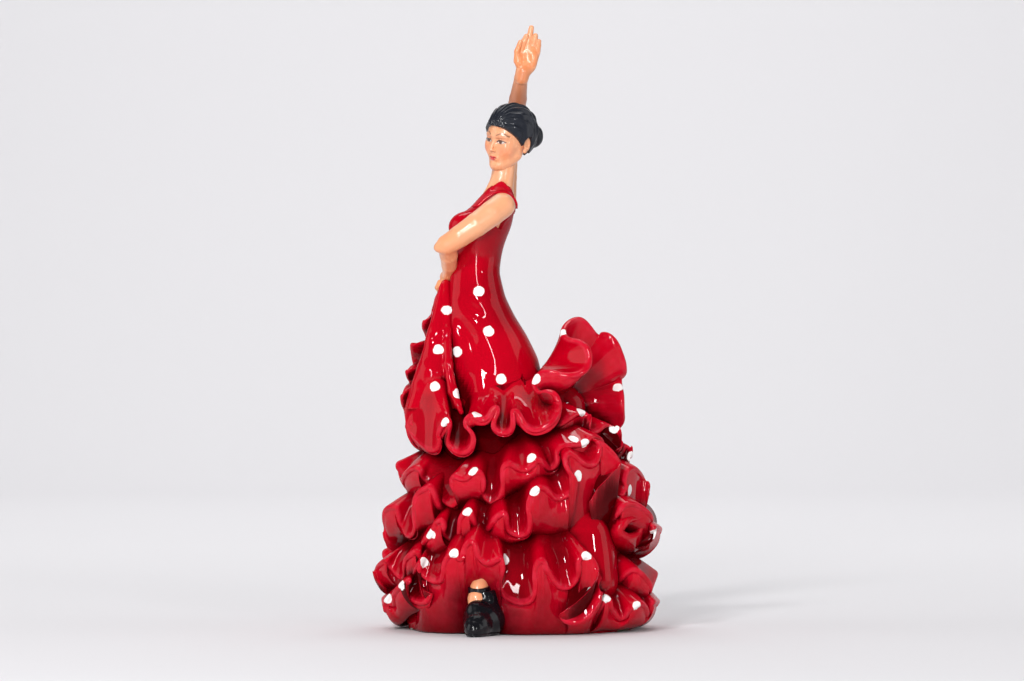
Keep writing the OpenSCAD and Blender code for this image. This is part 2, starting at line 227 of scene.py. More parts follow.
# ---------------------------------------------------------------- lines and ruffles
def trace(rows, closed=False):
    """Even samples along a smooth curve through the rows. The first three columns are its place."""
    p = np.array(rows, float)
    ends = (p[-1:], p[:2]) if closed else (2 * p[:1] - p[1:2], 2 * p[-1:] - p[-2:-1])
    ext = np.vstack([ends[0], p, ends[1]])
    t = np.linspace(0, 1, 12, endpoint=False)[:, None]
    fine = []
    for a, b, c, d in zip(ext, ext[1:], ext[2:], ext[3:]):
        square, cube = 2 * a - 5 * b + 4 * c - d, 3 * b - a - 3 * c + d
        fine.append(0.5 * (2 * b + (c - a) * t + square * t ** 2 + cube * t ** 3))
    fine = np.vstack([*fine, p[:1] if closed else p[-1:]])
    s = np.concatenate([[0], np.cumsum(np.linalg.norm(np.diff(fine[:, :3], axis=0), axis=1))])
    at = np.linspace(0, s[-1], int(s[-1] / GAP), endpoint=not closed)
    return np.stack([np.interp(at, s, column) for column in fine.T], 1)


def smooth_line(p, length, closed=False):
    """The rows averaged over a length."""
    sigma = length / GAP
    half = int(2.6 * sigma)
    idx, last = np.arange(-half, len(p) + half), len(p) - 1
    pad = p[idx % len(p)]
    if not closed:
        before, after = np.clip(-idx, 0, last), np.clip(2 * last - idx, 0, last)
        pad = np.where((idx < 0)[:, None], 2 * p[0] - p[before], pad)
        pad = np.where((idx > last)[:, None], 2 * p[-1] - p[after], pad)
    w = kernel(half, sigma)
    return np.stack([np.convolve(column, w, "valid") for column in pad.T], 1)


# Rows round the rolled rim, and rows from there down the filling
RIM_ROWS, FILL_ROWS = 9, 21


def ruffle(seam, hem, foot, fill, out, closed, rim=1.3, bulge=2.0, rows=34, power=1.6, pleat=0.5,
           reach=10.0, plump=0.75, sag=0.33, shade=0.1, even=3.5, roll=0.74):
    """Surface of a cast flounce: gathered at the seam, a thick rounded hem, filled behind to its foot.

    rim is the hem's radius and roll its arc in half turns. bulge pushes the cloth out between seam and
    hem, power keeps the folds near the hem, and pleat gathers them under the seam. reach and even are
    the lengths over which the hem is levelled for the cloth and for the filling, whose belly is set by
    plump and sag. shade is the tone at the seam.
    """
    n = len(hem)
    base = smooth_line(hem, reach, closed)
    v = np.linspace(0, 1, rows)[None, :, None]
    bulge = np.broadcast_to(np.asarray(bulge, float), n)[:, None]
    fill = np.broadcast_to(np.asarray(fill, float), n)[:, None, None]
    sheet = bezier([seam, (seam + base) / 2 + out * bulge, base], v)
    # The hem's own folds run up into the cloth and fade out; rise says where they stand proud
    swing = hem - base
    sheet = sheet + swing[:, None] * v ** power
    rise = (swing * out).sum(1) + 0.5 * swing[:, 2]
    rise = rise / (np.abs(rise).max() + 1e-6)
    sheet = sheet - pleat * bell(v - 0.3, 0.2) * (0.5 - rise[:, None, None]) * out[:, None]
    along, down = gradient(sheet, 0, closed), np.gradient(sheet, axis=1)
    normal = unit(np.cross(along, down))
    normal = normal * np.sign((normal * out[:, None]).sum(-1).mean())
    # The cloth thickens a little before its rim
    top = sheet + 0.08 * soft_step(v, 0.80, 0.97) * normal
    end_n = normal[:, -1]
    end_d = unit(down[:, -1] - end_n * (down[:, -1] * end_n).sum(1, keepdims=True))
    centre = top[:, -1] - rim * end_n
    arc = np.linspace(0, roll * math.pi, RIM_ROWS + 1)[1:]
    bead = np.stack([centre + rim * (math.cos(a) * end_n + 1.05 * math.sin(a) * end_d) for a in arc], 1)
    lip = bead[:, -1]
    u = np.linspace(0, 1, FILL_ROWS + 1)[1:][None, :, None]
    fall = np.linalg.norm(lip - foot, axis=1)[:, None]
    below = np.array([0, 0, -1.0])
    level_lip = smooth_line(lip, even, closed)
    inward = level_lip - foot
    p1 = lip - 0.1 * end_d + below * np.minimum(1.8, 0.12 * fall)
    p2 = level_lip + below * sag * fall - (1 - 3 * sag) * 0.4 * inward
    p3 = foot + inward * np.array([plump, plump, 0.12])
    filled = bezier([lip, p1, p2, p3, foot], u)
    # Where it isn't filled, the back runs up again one thickness behind the front
    back = np.clip((rows - 1) * (1 - u[0, :, 0]), 0, rows - 1).astype(int)
    behind = sheet - 2 * rim * normal
    thin = behind[:, back] + (lip[:, None] - behind[:, -1:]) * (1 - u) ** 2
    grid = np.concatenate([top, bead, fill * filled + (1 - fill) * thin], 1)
    # Painted shade: the tone rises from shade at the seam to full at the rim, and darkens again down the
    # filling towards its foot
    depth = np.concatenate([np.linspace(shade, 1, rows) ** 1.2, np.ones(RIM_ROWS), 0.9 - 0.7 * u[0, :, 0]])
    tone = depth[None] * np.ones((n, 1))
    # Painted shade darkens the valleys between the folds
    tone[:, :rows] *= 0.72 + 0.28 * rise[:, None]
    # The rolled rim, and the filling just below it, are marked to be brightened for wear and with painted
    # highlight
    edge = np.zeros(grid.shape[:2])
    edge[:, rows - 2:rows + RIM_ROWS] = 1
    edge[:, rows + RIM_ROWS:] = 0.6 * (1 - u[:, :, 0])
    return grid, tone, edge


# ---------------------------------------------------------------- the skirt's own shape
lowest, highest = (np.array(corner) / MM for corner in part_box("skirt_core"))
AX, AY = (highest - lowest)[:2] / 2
# The skirt's rings: height, centre, and the shares of its half widths
CORE_Z = [0, 13, 33, 50, 70, 85, 97, 106]
CORE_C = [0, 0, -0.5, -1.5, -3.5, -6, -8.8, -9.5]
CORE_X = [1.00, 0.99, 0.94, 0.87, 0.76, 0.62, 0.42, 0.36]
CORE_Y = [1.00, 0.99, 0.94, 0.89, 0.80, 0.66, 0.47, 0.40]


def skirt_point(a, z, d):
    """A point on the skirt at angle a (degrees, 0 to the right, -90 to the front), d outside its body."""
    a = np.radians(a)
    ax, ay = AX * np.interp(z, CORE_Z, CORE_X) + d, AY * np.interp(z, CORE_Z, CORE_Y) + d
    return np.stack([np.interp(z, CORE_Z, CORE_C) + ax * np.cos(a), ay * np.sin(a), z + 0 * a], -1)


def angle_at(x, z, d):
    """The angle of the front point of the skirt that has this x."""
    ax = AX * np.interp(z, CORE_Z, CORE_X) + d
    return -math.degrees(math.acos(np.clip((x - np.interp(z, CORE_Z, CORE_C)) / ax, -1, 1)))


def marks(keys):
    """Hem marks (x, z, distance outside the skirt) as rows of place and facing."""
    rows = []
    for x, z, d in keys:
        a = angle_at(x, z, d)
        rows.append([*skirt_point(a, z, d), math.cos(math.radians(a)), math.sin(math.radians(a))])
    return np.array(rows)


def wander(a0, a1, z, d, seed, swing=3.6, lift=4.5, step=9.5):
    """Hem marks that meander by rule from angle a0 to a1; z and d are (start, end) pairs."""
    rng = np.random.RandomState(seed)
    count = max(2, int(round((a1 - a0) / step)))
    rows, side = [], 1
    for i in range(count + 1):
        share = (i + rng.uniform(-0.25, 0.25)) / count
        amp = side * rng.uniform(0.7, 1.35)
        rows.append([start + (end - start) * share + amp * reach
                     for (start, end), reach in (((a0, a1), 0), (z, lift), (d, swing))])
        side = -side
    p = np.array([skirt_point(*r) for r in rows])
    t = np.linspace(0, 1, 4, endpoint=False)[None, :, None]
    travel = unit(np.vstack([p[2:], p[-1:]]) - np.vstack([p[:1], p[:-2]]))[:, None]
    step_to = (p[1:] - p[:-1])[:, None]
    loop = 0.17 * np.linalg.norm(step_to, axis=2, keepdims=True) * np.sin(2 * math.pi * t) * travel
    hem = (p[:-1, None] + step_to * (0.5 - 0.5 * np.cos(math.pi * t)) + loop).reshape(-1, 3)
    hem = np.vstack([hem, p[-1:]])
    ang = np.radians(np.interp(np.arange(len(hem)) / 4, np.arange(len(rows)), [r[0] for r in rows]))
    return np.column_stack([hem, np.cos(ang), np.sin(ang)])


def skirt_ruffle(rows, closed=False, rise=13.0, drop=9.5, floor=99.0, spread=0.3, **shape):
    """A flounce that follows the skirt: gathered rise above its hem, filled down to drop below it."""
    hem = trace(rows, closed)
    # The tight curls at the skirt's right side are rounded off
    side = soft_step(hem[:, 0], 40, 47)[:, None]
    hem = hem * (1 - side) + smooth_line(hem, 2.2, closed) * side
    calm = smooth_line(hem, 13, closed)
    ang = degrees_of(calm)
    seam = skirt_point(ang, calm[:, 2] + rise, 0.2)
    foot_ang = degrees_of(smooth_line(hem, 6, closed))
    level = 1 if closed else between(np.linspace(0, 1, len(hem)), 0, 0.1, 0.9, 1)
    foot = skirt_point(foot_ang, np.clip(calm[:, 2] - drop, 0.2, floor), -1.5 + (spread + 1.5) * level)
    out = unit(np.stack([np.cos(np.radians(ang)), np.sin(np.radians(ang)), 0.45 + 0 * ang], 1))
    return ruffle(seam, hem[:, :3], foot, 1, out, closed, **shape), closed


def horn(loop, at, deep, **shape):
    """A flounce rolled into a mouth: a closed hem whose inside runs back into the skirt."""
    hem = trace(marks(loop), True)[:, :3]
    centre, back = marks([at])[0, :3], marks([deep])[0, :3]
    seam = back + 2.7 * (hem - centre)
    grid, tone, edge = ruffle(seam, hem, np.tile(back, (len(hem), 1)), 1, unit(hem - centre), True, **shape)
    return (grid, tone, 0.3 * edge), True


def hollow(grid):
    """How far the skirt is drawn back behind the foot."""
    z = grid[..., 2]
    return bell(grid[..., 0] + 15.5, 8.0) * soft_step(-grid[..., 1], 8, 30) * (1 - soft_step(z, 16, 31))


# ---------------------------------------------------------------- tiers
# The hems' front halves are marks (x, z, distance outside the skirt); their back halves wander by rule
SECOND = [
    (-46.8, 57.5, 5), (-48.3, 61.5, 9), (-46.6, 65, 11), (-43, 67.3, 12), (-39.6, 66.2, 11),
    (-38.2, 62.6, 8), (-36.6, 59.4, 7), (-34.4, 57, 7), (-32.2, 54.6, 7), (-29.9, 52.6, 7), (-27.4, 52, 7),
    (-26, 53.8, 7), (-26.8, 57, 8), (-28.2, 60.3, 9.5), (-28, 63, 11), (-26.4, 64.3, 12), (-24, 63.4, 12),
    (-22.1, 63.3, 12), (-20.3, 64.9, 12.5), (-18.4, 66.1, 13), (-16.2, 65.8, 12.5), (-14.6, 64.4, 11.5),
    (-13.8, 61.8, 10), (-13.9, 59, 8.5), (-14.6, 56.6, 7), (-13.6, 54.6, 6), (-11.7, 53.4, 5.5),
    (-9.6, 54.7, 6), (-8.3, 57.3, 7.5), (-8, 60.5, 9), (-8.2, 64, 10.5), (-8, 66.9, 11.5),
    (-6.7, 68.7, 12.5), (-4.3, 69.3, 13), (-2.2, 68.4, 12), (0, 67, 10.5), (2.3, 66.8, 10.5),
    (4.2, 68.5, 11.5), (6, 70.4, 12.5), (8.3, 70.3, 12), (10.2, 68.8, 10), (12, 67.2, 8), (13.4, 68.1, 8.5),
    (13.9, 70.5, 10), (14.1, 73.2, 11), (16, 75.7, 12), (19.5, 76.5, 12.5), (23, 76.7, 12.5),
    (26, 77.6, 13), (28.3, 79.6, 14), (30.5, 79.9, 14), (32.8, 78.4, 13), (34, 76, 11), (35.5, 72.5, 9),
    (38, 70.3, 9.5), (40.6, 72.2, 12), (42.3, 75.5, 15.5), (44.2, 75.2, 16.5), (45.4, 72, 16)]


def flounce_2():
    hem = np.vstack([marks(SECOND), wander(14, 172, (69, 63), (11, 9), seed=11)])
    return joined(skirt_ruffle(hem, True, rise=12))


# The third tier climbs to the right, and its end laps over its start
THIRD = [
    (-46, 33, 2), (-43, 32.6, 4), (-40.6, 35, 8), (-39.1, 38, 10), (-36.9, 40.3, 10.5), (-35.6, 43, 11),
    (-34.4, 45.5, 11.5), (-32.3, 46.5, 12), (-30.4, 45.6, 11.5), (-29.4, 43.3, 10), (-29.6, 41, 8),
    (-28.7, 39, 6.5), (-26.9, 38, 6), (-25.6, 39.6, 7.5), (-25.3, 43, 9.5), (-24.9, 46.5, 11),
    (-23.6, 48.8, 12), (-21, 50.2, 12.5), (-19, 49.4, 12), (-18, 47, 10.5), (-17.2, 44.4, 8),
    (-15.9, 42.7, 6.5), (-14.5, 42.3, 6), (-13.2, 43.6, 7.5), (-11.8, 45.9, 9.5), (-10, 48, 11),
    (-8, 49.4, 12), (-6, 49.4, 12), (-4.7, 47.8, 10.5), (-4.6, 45, 8.5), (-3.8, 42.2, 6.5),
    (-2.2, 40.6, 5.5), (-0.2, 40.1, 5.5), (1.6, 40.9, 6.5), (2.7, 43.5, 8.5), (2.6, 47, 10),
    (2.1, 50.5, 11), (2.6, 54, 12), (4, 57.3, 13), (6, 59.2, 13.5), (8.1, 60, 13.5), (10.3, 59.3, 12.5),
    (12.2, 57.7, 11), (13.8, 55.8, 9), (15.5, 55, 8), (17.5, 55.6, 8.5), (19.8, 57, 10.5),
    (20.9, 59.3, 11.5), (20.2, 62.2, 12.5), (18.4, 65, 12.5), (17, 68, 13), (17.2, 71, 14),
    (18.9, 73.1, 14.5), (21.2, 73, 14.5), (23.8, 70.9, 13.5), (26.3, 69, 12.5), (28.7, 68.4, 12),
    (30.6, 69.6, 12.5), (31.3, 72.3, 13.5), (31, 75, 14.5), (30.9, 77, 16), (33, 77, 16.5),
    (36, 74.6, 16.5), (38.6, 71.7, 16), (39.7, 69, 15), (38.6, 66.7, 14), (36.6, 64.8, 13),
    (34.5, 62.4, 12), (32.3, 59.8, 11), (30.5, 56.8, 9.5), (29.4, 53.6, 8.5), (29.5, 50.9, 8),
    (31.1, 49.4, 8), (33.3, 49.3, 8), (35.9, 50.9, 9), (38.4, 53, 10), (40.7, 55, 11), (41.9, 57.7, 12),
    (41.7, 60.7, 13), (42.3, 63.9, 14), (43.7, 66.5, 15), (45.7, 67.3, 15.5), (48, 65.7, 15.5),
    (50.4, 62.8, 15.5), (51.8, 59.3, 15.2), (52.2, 56, 15)]
THIRD_END = [
    (-54.2, 33.6, 8.5), (-55.6, 37.5, 10.5), (-56, 42, 12), (-56, 46, 13.4), (-55.3, 49.6, 14),
    (-52.3, 51.4, 13), (-49.6, 50.6, 11.5), (-48.6, 47, 10), (-48, 43.2, 8.5), (-46.9, 40.2, 7.5),
    (-45.3, 39.1, 7), (-43.9, 40.4, 7.5), (-43.3, 43.5, 9), (-43.6, 47.5, 10.5), (-43.5, 51.5, 12),
    (-42.9, 55, 13), (-41, 57.7, 13.5), (-38.5, 59.1, 14), (-36.5, 60.2, 14), (-34.7, 59.2, 13),
    (-33.6, 57, 11.5), (-32.8, 54, 9.5), (-31.5, 51, 7), (-29.5, 49.5, 4)]


def flounce_3():
    hem = np.vstack([marks(THIRD), wander(14, 170, (50, 44), (12.5, 10), seed=23), marks(THIRD_END)])
    return joined(skirt_ruffle(hem, plump=0.85, floor=39))


# The fourth tier: its front, its right part with a mouth beside it, its left end and a curl below
FOURTH_FRONT = [
    (-45.5, 17, 1), (-44, 19.5, 5), (-43.7, 23, 8.5), (-42.6, 26.8, 11), (-40.8, 29.2, 12.5),
    (-39.6, 27.4, 11.5), (-39.2, 24.6, 10), (-37.2, 22.3, 8.5), (-34.6, 21.4, 8.5), (-32.5, 22.5, 9.5),
    (-31.8, 25.3, 11), (-31.2, 29, 12.5), (-29.6, 32, 13.5), (-27.2, 33.5, 14), (-25, 32.8, 13.8),
    (-24, 31.2, 13.5), (-23.8, 33.4, 13.5), (-22.8, 36, 13.8), (-20.9, 38.1, 14), (-18.8, 38.2, 14),
    (-17.3, 36.7, 13.8), (-16.4, 34, 13), (-15.5, 31.4, 12), (-13.8, 29.6, 11.5), (-11.8, 29.6, 11.5),
    (-10, 31, 12), (-8.2, 31.8, 12.5), (-6.6, 30.4, 12), (-6.1, 27, 11.2), (-6.9, 23.5, 10), (-7.6, 20, 9),
    (-7.1, 17.2, 8.5), (-5, 15.2, 8), (-2.2, 14, 7.5), (0.8, 13.5, 7.5), (3.3, 14.2, 8), (4.8, 16.6, 9),
    (4.9, 20, 10), (4.6, 24, 11), (5, 27.7, 12.5), (6.4, 30.2, 13.5), (8.3, 31.1, 14), (10.2, 30.1, 13.5),
    (11.4, 27.3, 12.5), (12.9, 24.5, 11), (14.4, 22, 9.5), (16.3, 19.8, 8.5), (18.8, 19.5, 8.5),
    (20.9, 21, 9.5), (22, 24, 11), (21.9, 27.5, 12.5), (22.4, 30.3, 13.5), (24.3, 32.4, 14),
    (26.9, 32.8, 14.5), (29.3, 30.9, 14.5), (30.9, 27.3, 14), (30.4, 23.8, 13.5), (28.6, 20.5, 12.5),
    (25.8, 17, 11.5), (22.6, 14, 10.5), (19.6, 11.6, 10), (17.5, 9.1, 9.5), (17.8, 6.9, 9.5),
    (20.3, 5.9, 10), (23.5, 6.2, 10.5), (26.4, 7.9, 11.5), (28.9, 10.9, 12.5), (31, 14, 12.8),
    (31.6, 17.4, 12.5), (31.2, 20.5, 11), (32.5, 23, 8), (34.5, 25, 4)]
FOURTH = [
    (34, 42, 3), (37, 46.5, 8), (39.6, 50.4, 12), (42.2, 52.5, 14), (45.4, 53, 15), (48.8, 51.6, 15.5),
    (51.8, 49.2, 16), (53.8, 46.6, 15.6), (52.9, 44, 13), (50.9, 41.2, 10.5), (51.3, 38.8, 10.5),
    (52.6, 41.2, 14), (54.6, 42.9, 16.4)]
MOUTH = [
    (38.4, 41.6, 9.6), (39.4, 39.2, 9.4), (41.6, 37.8, 9.4), (44.4, 37.4, 9.8), (47.2, 38.2, 10.4),
    (49.2, 40.2, 11.2), (49.8, 42.8, 12), (48.4, 45.2, 12.6), (45.6, 46.4, 12.8), (42.4, 46, 12.2),
    (39.8, 44.4, 11)]
FOURTH_END = [
    (-55.5, 18, 10.3), (-57.6, 21.5, 12.6), (-58.9, 25.3, 14), (-56.8, 28.3, 13.5), (-53.9, 29.2, 12.5),
    (-52.8, 26.6, 10.5), (-50.8, 23.7, 8.5), (-48.8, 22, 7.5), (-47.6, 23.7, 8.5), (-47.5, 27.2, 10.5),
    (-46.7, 30.4, 12), (-44.7, 32.3, 13), (-42.3, 33.8, 13), (-40.2, 33.5, 12), (-39.5, 31, 10),
    (-38.5, 28, 6)]
FOURTH_SIDE = [
    (39, 20, 2), (42, 24.4, 6), (45.4, 26.6, 9.5), (49.2, 24.9, 11.5), (51.7, 21.8, 11.6), (53.8, 19.4, 12),
    (53.2, 16.4, 9.5)]


def flounce_4():
    upper = np.vstack([marks(FOURTH), wander(6, 172, (37, 26), (13.5, 10.5), seed=37), marks(FOURTH_END)])
    lower = np.vstack([marks(FOURTH_SIDE), wander(8, 60, (20, 20), (9, 8), seed=41)])
    front = skirt_ruffle(marks(FOURTH_FRONT), rise=18, drop=99, spread=2.4, plump=0.45, sag=0.24, even=7)
    front_grid = front[0][0]
    front_grid[..., 1] += 8.5 * hollow(front_grid)
    mouth = horn(MOUTH, (44.2, 41.9, 10), (43.5, 41.5, 0), rim=1.9, rows=20, reach=30, pleat=0,
                 plump=0.55, bulge=4.2, sag=0.0)
    return joined(skirt_ruffle(upper, plump=0.8), front, mouth, skirt_ruffle(lower, rise=11, drop=8))


# The lowest tier stops at each side of the foot
LOW_RIGHT = [
    (27.5, 4, 1), (29.5, 9, 5), (31.7, 13.6, 9), (34.2, 15.5, 10.5), (36.4, 14.2, 10.5), (37.2, 11.2, 9),
    (38.6, 9, 7.5), (40.2, 6.6, 7), (41.3, 6.8, 7.5), (42.3, 9.2, 9.5), (43.8, 10.9, 11), (46, 11.6, 11.8),
    (48, 13, 12), (50, 12.4, 11.7), (51.8, 9.6, 10.5), (52.2, 6.4, 9), (51.6, 8.6, 8.7), (52.6, 12.6, 10.5),
    (54.6, 12.6, 11.6)]
LOW_LEFT = [
    (-55.8, 8.6, 9.6), (-55.8, 11.6, 10.6), (-54.2, 13.4, 10.2), (-52.6, 11.2, 8.6), (-51.9, 13.2, 9.6),
    (-51.6, 16.3, 11.2), (-49.8, 18.7, 12.3), (-47.6, 20.9, 13), (-45, 22.3, 12.8), (-43.6, 21.2, 12),
    (-44.9, 19.4, 11.5), (-46, 17.7, 10.8), (-45.5, 15.6, 10), (-43.9, 14, 9), (-41.4, 13.1, 8.5),
    (-38.9, 13.4, 9), (-37.4, 15.2, 9), (-37.2, 18, 8.5), (-38.2, 21, 6)]


def hem_flounce():
    back = wander(5, 172, (9, 9), (9, 8.6), seed=51, swing=2.6, lift=3.4)
    hem = np.vstack([marks(LOW_RIGHT), back, marks(LOW_LEFT)])
    return joined(skirt_ruffle(hem, rise=11, drop=9.5, spread=2.6, plump=0.7))


# ---------------------------------------------------------------- trunk
# Rings of the trunk under the dress: height, centre, half width front to back, half width side to side
TRUNK = np.array([
    [84, -7.5, 24.5, 26], [92, -8.6, 20.5, 22], [97, -8.8, 18.9, 19.8], [104, -9.0, 17.0, 18],
    [111, -9.5, 15.9, 16.8], [121, -12.0, 13.4, 14.8], [128, -14.3, 11.2, 13.4], [136, -16.2, 9.2, 12],
    [146, -17.5, 8.1, 10.4], [153, -17.1, 8.6, 10.6], [158, -16.6, 9.4, 11.4], [165, -15.2, 10.8, 12.4],
    [171, -12.2, 9.0, 12.8], [175, -10.2, 7.4, 11.8], [178, -9.0, 6.3, 8.6], [181, -8.1, 5.4, 6.0],
    [185, -7.2, 4.9, 5.0], [190, -6.5, 4.7, 4.8], [196, -6.0, 4.7, 4.8]])


def trunk_rings(z):
    """The trunk's centre and half widths at these heights."""
    return [np.interp(z, TRUNK[:, 0], TRUNK[:, i]) for i in (1, 2, 3)]


def trunk(clay):
    """Distance to the trunk, with its bust and shoulders."""
    half = 12
    k = kernel(half, 2.2 / math.sqrt(2) / clay.step)
    cx, ax, ay = (
        np.convolve(np.pad(ring.astype(np.float32).ravel(), half, "edge"), k, "valid").reshape(clay.z.shape)
        for ring in trunk_rings(clay.z))
    q = np.sqrt(((clay.x - cx) / ax) ** 2 + (clay.y / ay) ** 2)
    d = (q - 1) * np.minimum(ax, ay) * 0.92
    for side in SIDES:
        d = blend_min(d, clay.ball((-21.6, side * 5.2, 164.2), (7.0, 5.9, 5.8)), 2.4)
        d = blend_min(d, clay.ball((-7.2, side * 12.2, 172.6), (5.2, 4.8, 4.4)), 3.0)
    return d


# ---------------------------------------------------------------- top tier and train
# One long hem. In front: a hem mark, then the x and z of the place that it is gathered from
TOP = [
    (-47.4, 89, 15, -42, 102), (-46.4, 84.5, 13, -41, 101), (-44.6, 80.3, 11, -40, 100),
    (-41.5, 76.8, 9, -38.8, 100), (-38.6, 74.5, 8.5, -37.6, 100), (-36, 73.6, 8, -36.4, 100),
    (-34.2, 74.6, 8.5, -35.4, 100), (-33.5, 77.3, 9.5, -34.6, 100), (-33.9, 80, 10.5, -33.8, 100),
    (-32.9, 82.8, 11.5, -33, 99), (-31.3, 85, 12.5, -32, 98.5), (-29.5, 86.6, 13, -31, 98),
    (-27.9, 86, 12.5, -30, 97.5), (-27.4, 83.7, 11.5, -29, 97), (-28, 80.5, 9.5, -28, 96.6),
    (-28.3, 77.6, 8, -27, 96.3), (-27.2, 75.2, 7, -26, 96), (-25.3, 73.7, 6.5, -25, 96),
    (-23, 73.4, 6.5, -24, 96), (-21, 74.6, 7, -23, 96.5), (-20.1, 77, 8, -22, 96.5),
    (-20.1, 79.6, 9, -21.3, 97), (-21.4, 81.6, 10, -20.6, 97), (-22.7, 83.2, 11, -20, 97),
    (-22.8, 85.8, 12, -19.2, 97), (-21.2, 87.9, 13, -18.4, 97), (-18.8, 88.6, 13.5, -17.4, 97),
    (-16.6, 87.3, 12.5, -16.2, 97), (-14.8, 86.9, 12, -15, 97), (-13.2, 88.5, 13, -13.6, 97.5),
    (-12, 90.6, 14, -12.4, 98), (-10.2, 91.7, 14.5, -11.2, 98), (-8.5, 91, 13.5, -10.2, 98),
    (-8.2, 88.6, 12, -9.2, 98), (-9.3, 86, 10.5, -8.4, 98), (-9.7, 83.6, 9.5, -7.8, 98.5),
    (-8.3, 82, 8.5, -7.2, 98.5), (-6.5, 81.5, 8.5, -6.6, 98.5), (-4.9, 82.2, 9, -6, 98.5),
    (-4.1, 84.5, 10.5, -5.4, 98.8), (-4.1, 87.3, 12, -4.8, 99), (-3.9, 89.6, 13.5, -4.2, 99),
    (-2.3, 90.4, 14, -3.4, 99.3), (-0.5, 89.6, 13.5, -2.6, 99.6), (0.9, 87.6, 12.5, -1.8, 100),
    (2.2, 85.2, 11.5, -1, 100), (4.1, 83.3, 11, 0, 100.5), (6.3, 82.7, 11, 1.2, 101),
    (8.6, 83.5, 12, 2.4, 101.4), (11, 85, 13.5, 3.4, 101.8), (13.2, 87.2, 15, 4.2, 102.2),
    (14.3, 89.8, 16.5, 4.8, 102.6)]
# The train's filled part: the hem, the place it is gathered from, the place its filling runs back to,
# and how much it is filled
TRAIN = [
    (14.2, -37, 92.8, 5.2, -16.8, 103, 17, -17, 88, 1),
    (12.9, -36, 95.3, 5.6, -16.4, 103.4, 17.5, -16, 89, 1),
    (10.6, -34.4, 96.2, 6, -16, 103.8, 18, -15, 90, 1), (8, -33, 95.9, 6.4, -15.6, 104.2, 18.4, -14, 91, 1),
    (6, -32, 97, 6.8, -15.2, 104.6, 18.8, -13, 92, 1), (4.8, -31, 99.4, 7.1, -14.8, 105, 19, -12, 93, 1),
    (5.2, -30.5, 102.4, 7.4, -14.4, 105.4, 19.3, -11, 94, 1),
    (7.2, -30.5, 104.9, 7.7, -14, 105.8, 19.6, -10, 95, 1), (10, -31, 106, 8, -13.6, 106.1, 20, -9, 96, 1),
    (13.5, -32, 105.8, 8.2, -13.2, 106.4, 20.4, -8, 97, 1),
    (17, -33, 104.9, 8.4, -12.8, 106.6, 20.7, -7.5, 98, 0.95),
    (20.5, -33.5, 104.7, 8.6, -12.4, 106.8, 21, -7, 99, 0.85),
    (24, -33, 105.6, 8.8, -12, 107, 21, -6.5, 100, 0.7),
    (26.3, -32, 107.6, 9, -11.6, 107.2, 21, -6, 101, 0.5),
    (27, -31, 110.4, 9.2, -11.2, 107.4, 20.5, -5.5, 102, 0.3),
    (26.4, -30, 113.6, 9.4, -10.8, 107.6, 20, -5, 103, 0.15),
    (24.6, -28.6, 115.9, 9.4, -10.2, 107.8, 19, -5, 104, 0),
    (21.8, -27, 116.9, 9.3, -9.6, 107.8, 18, -4, 104, 0),
    (19.2, -25, 117.2, 9.1, -8.8, 107.7, 17, -4, 104, 0),
    (17.2, -22.6, 118.5, 8.9, -7.8, 107.5, 16, -4, 104, 0),
    (16.1, -19.4, 120.4, 8.8, -6.6, 107.2, 15, -4, 104, 0)]
# The train's free part: the hem and the place it is gathered from
TRAIN_FREE = [
    (16.6, -15.4, 122.8, 8.9, -5, 106.6), (18.3, -11.6, 125, 9.4, -3.4, 105.6),
    (20.6, -8.4, 126.4, 10.6, -2, 104), (23.6, -5.6, 126.9, 12.4, -1, 102),
    (26.6, -4, 125.1, 14.2, -0.4, 100.2), (28.8, -3.2, 122.3, 15.8, 0, 98.8),
    (30.3, -1.6, 119.8, 17, 0, 97.8), (32, -0.6, 118.8, 17.8, 0, 97.2), (33.8, -1.8, 119.8, 18.4, 0, 96.8),
    (35.4, -3.6, 120.4, 18.9, 0, 96.5), (37.6, -5, 119.2, 19.3, 0, 96.2), (39.6, -5.4, 116.6, 19.7, 0, 96),
    (41, -4.6, 113, 20, 0, 95.8), (42.2, -4.6, 109.8, 20.2, 0, 95.5), (42.8, -4.4, 107, 20.4, 0, 95.2),
    (41.9, -2, 105.4, 20.5, 0, 95), (40.5, 1.4, 103.8, 20.5, 0, 94.8), (40.4, 2, 101, 20.5, 0, 94.6),
    (40.9, -0.6, 98, 20.5, -0.4, 94.4), (41.7, -3.4, 95.4, 20.5, -0.8, 94.2),
    (41.9, -4.6, 92, 20.4, -1.2, 94), (41.8, -3.2, 89.4, 20.2, -1.6, 93.7), (42, 0.4, 87, 20, -2, 93.4),
    (41.2, 3, 84.6, 19.6, -2.4, 93), (39.2, 4.4, 82.6, 19, -3, 92.6), (35, 3, 79.5, 18, -4, 91.6),
    (29, 0, 79, 16.5, -6, 90.4), (23, -5, 81, 14.5, -9, 89)]
BACK_TOP = [
    (10.5, 84.5, 4), (13.5, 83.8, 7), (16.5, 85.2, 9.5), (19.5, 87.2, 11.5), (22.5, 89, 13),
    (25.2, 89.5, 13.5), (27.3, 88, 13.5), (28.1, 85.3, 12.5), (28, 82.6, 10.5), (29.6, 81.2, 9),
    (32, 82.2, 10.5), (34.3, 84, 12.5), (36.6, 83.7, 14), (38.7, 81.9, 15), (39.9, 79, 15),
    (40.2, 76.2, 14), (38.8, 74.6, 12.6)]


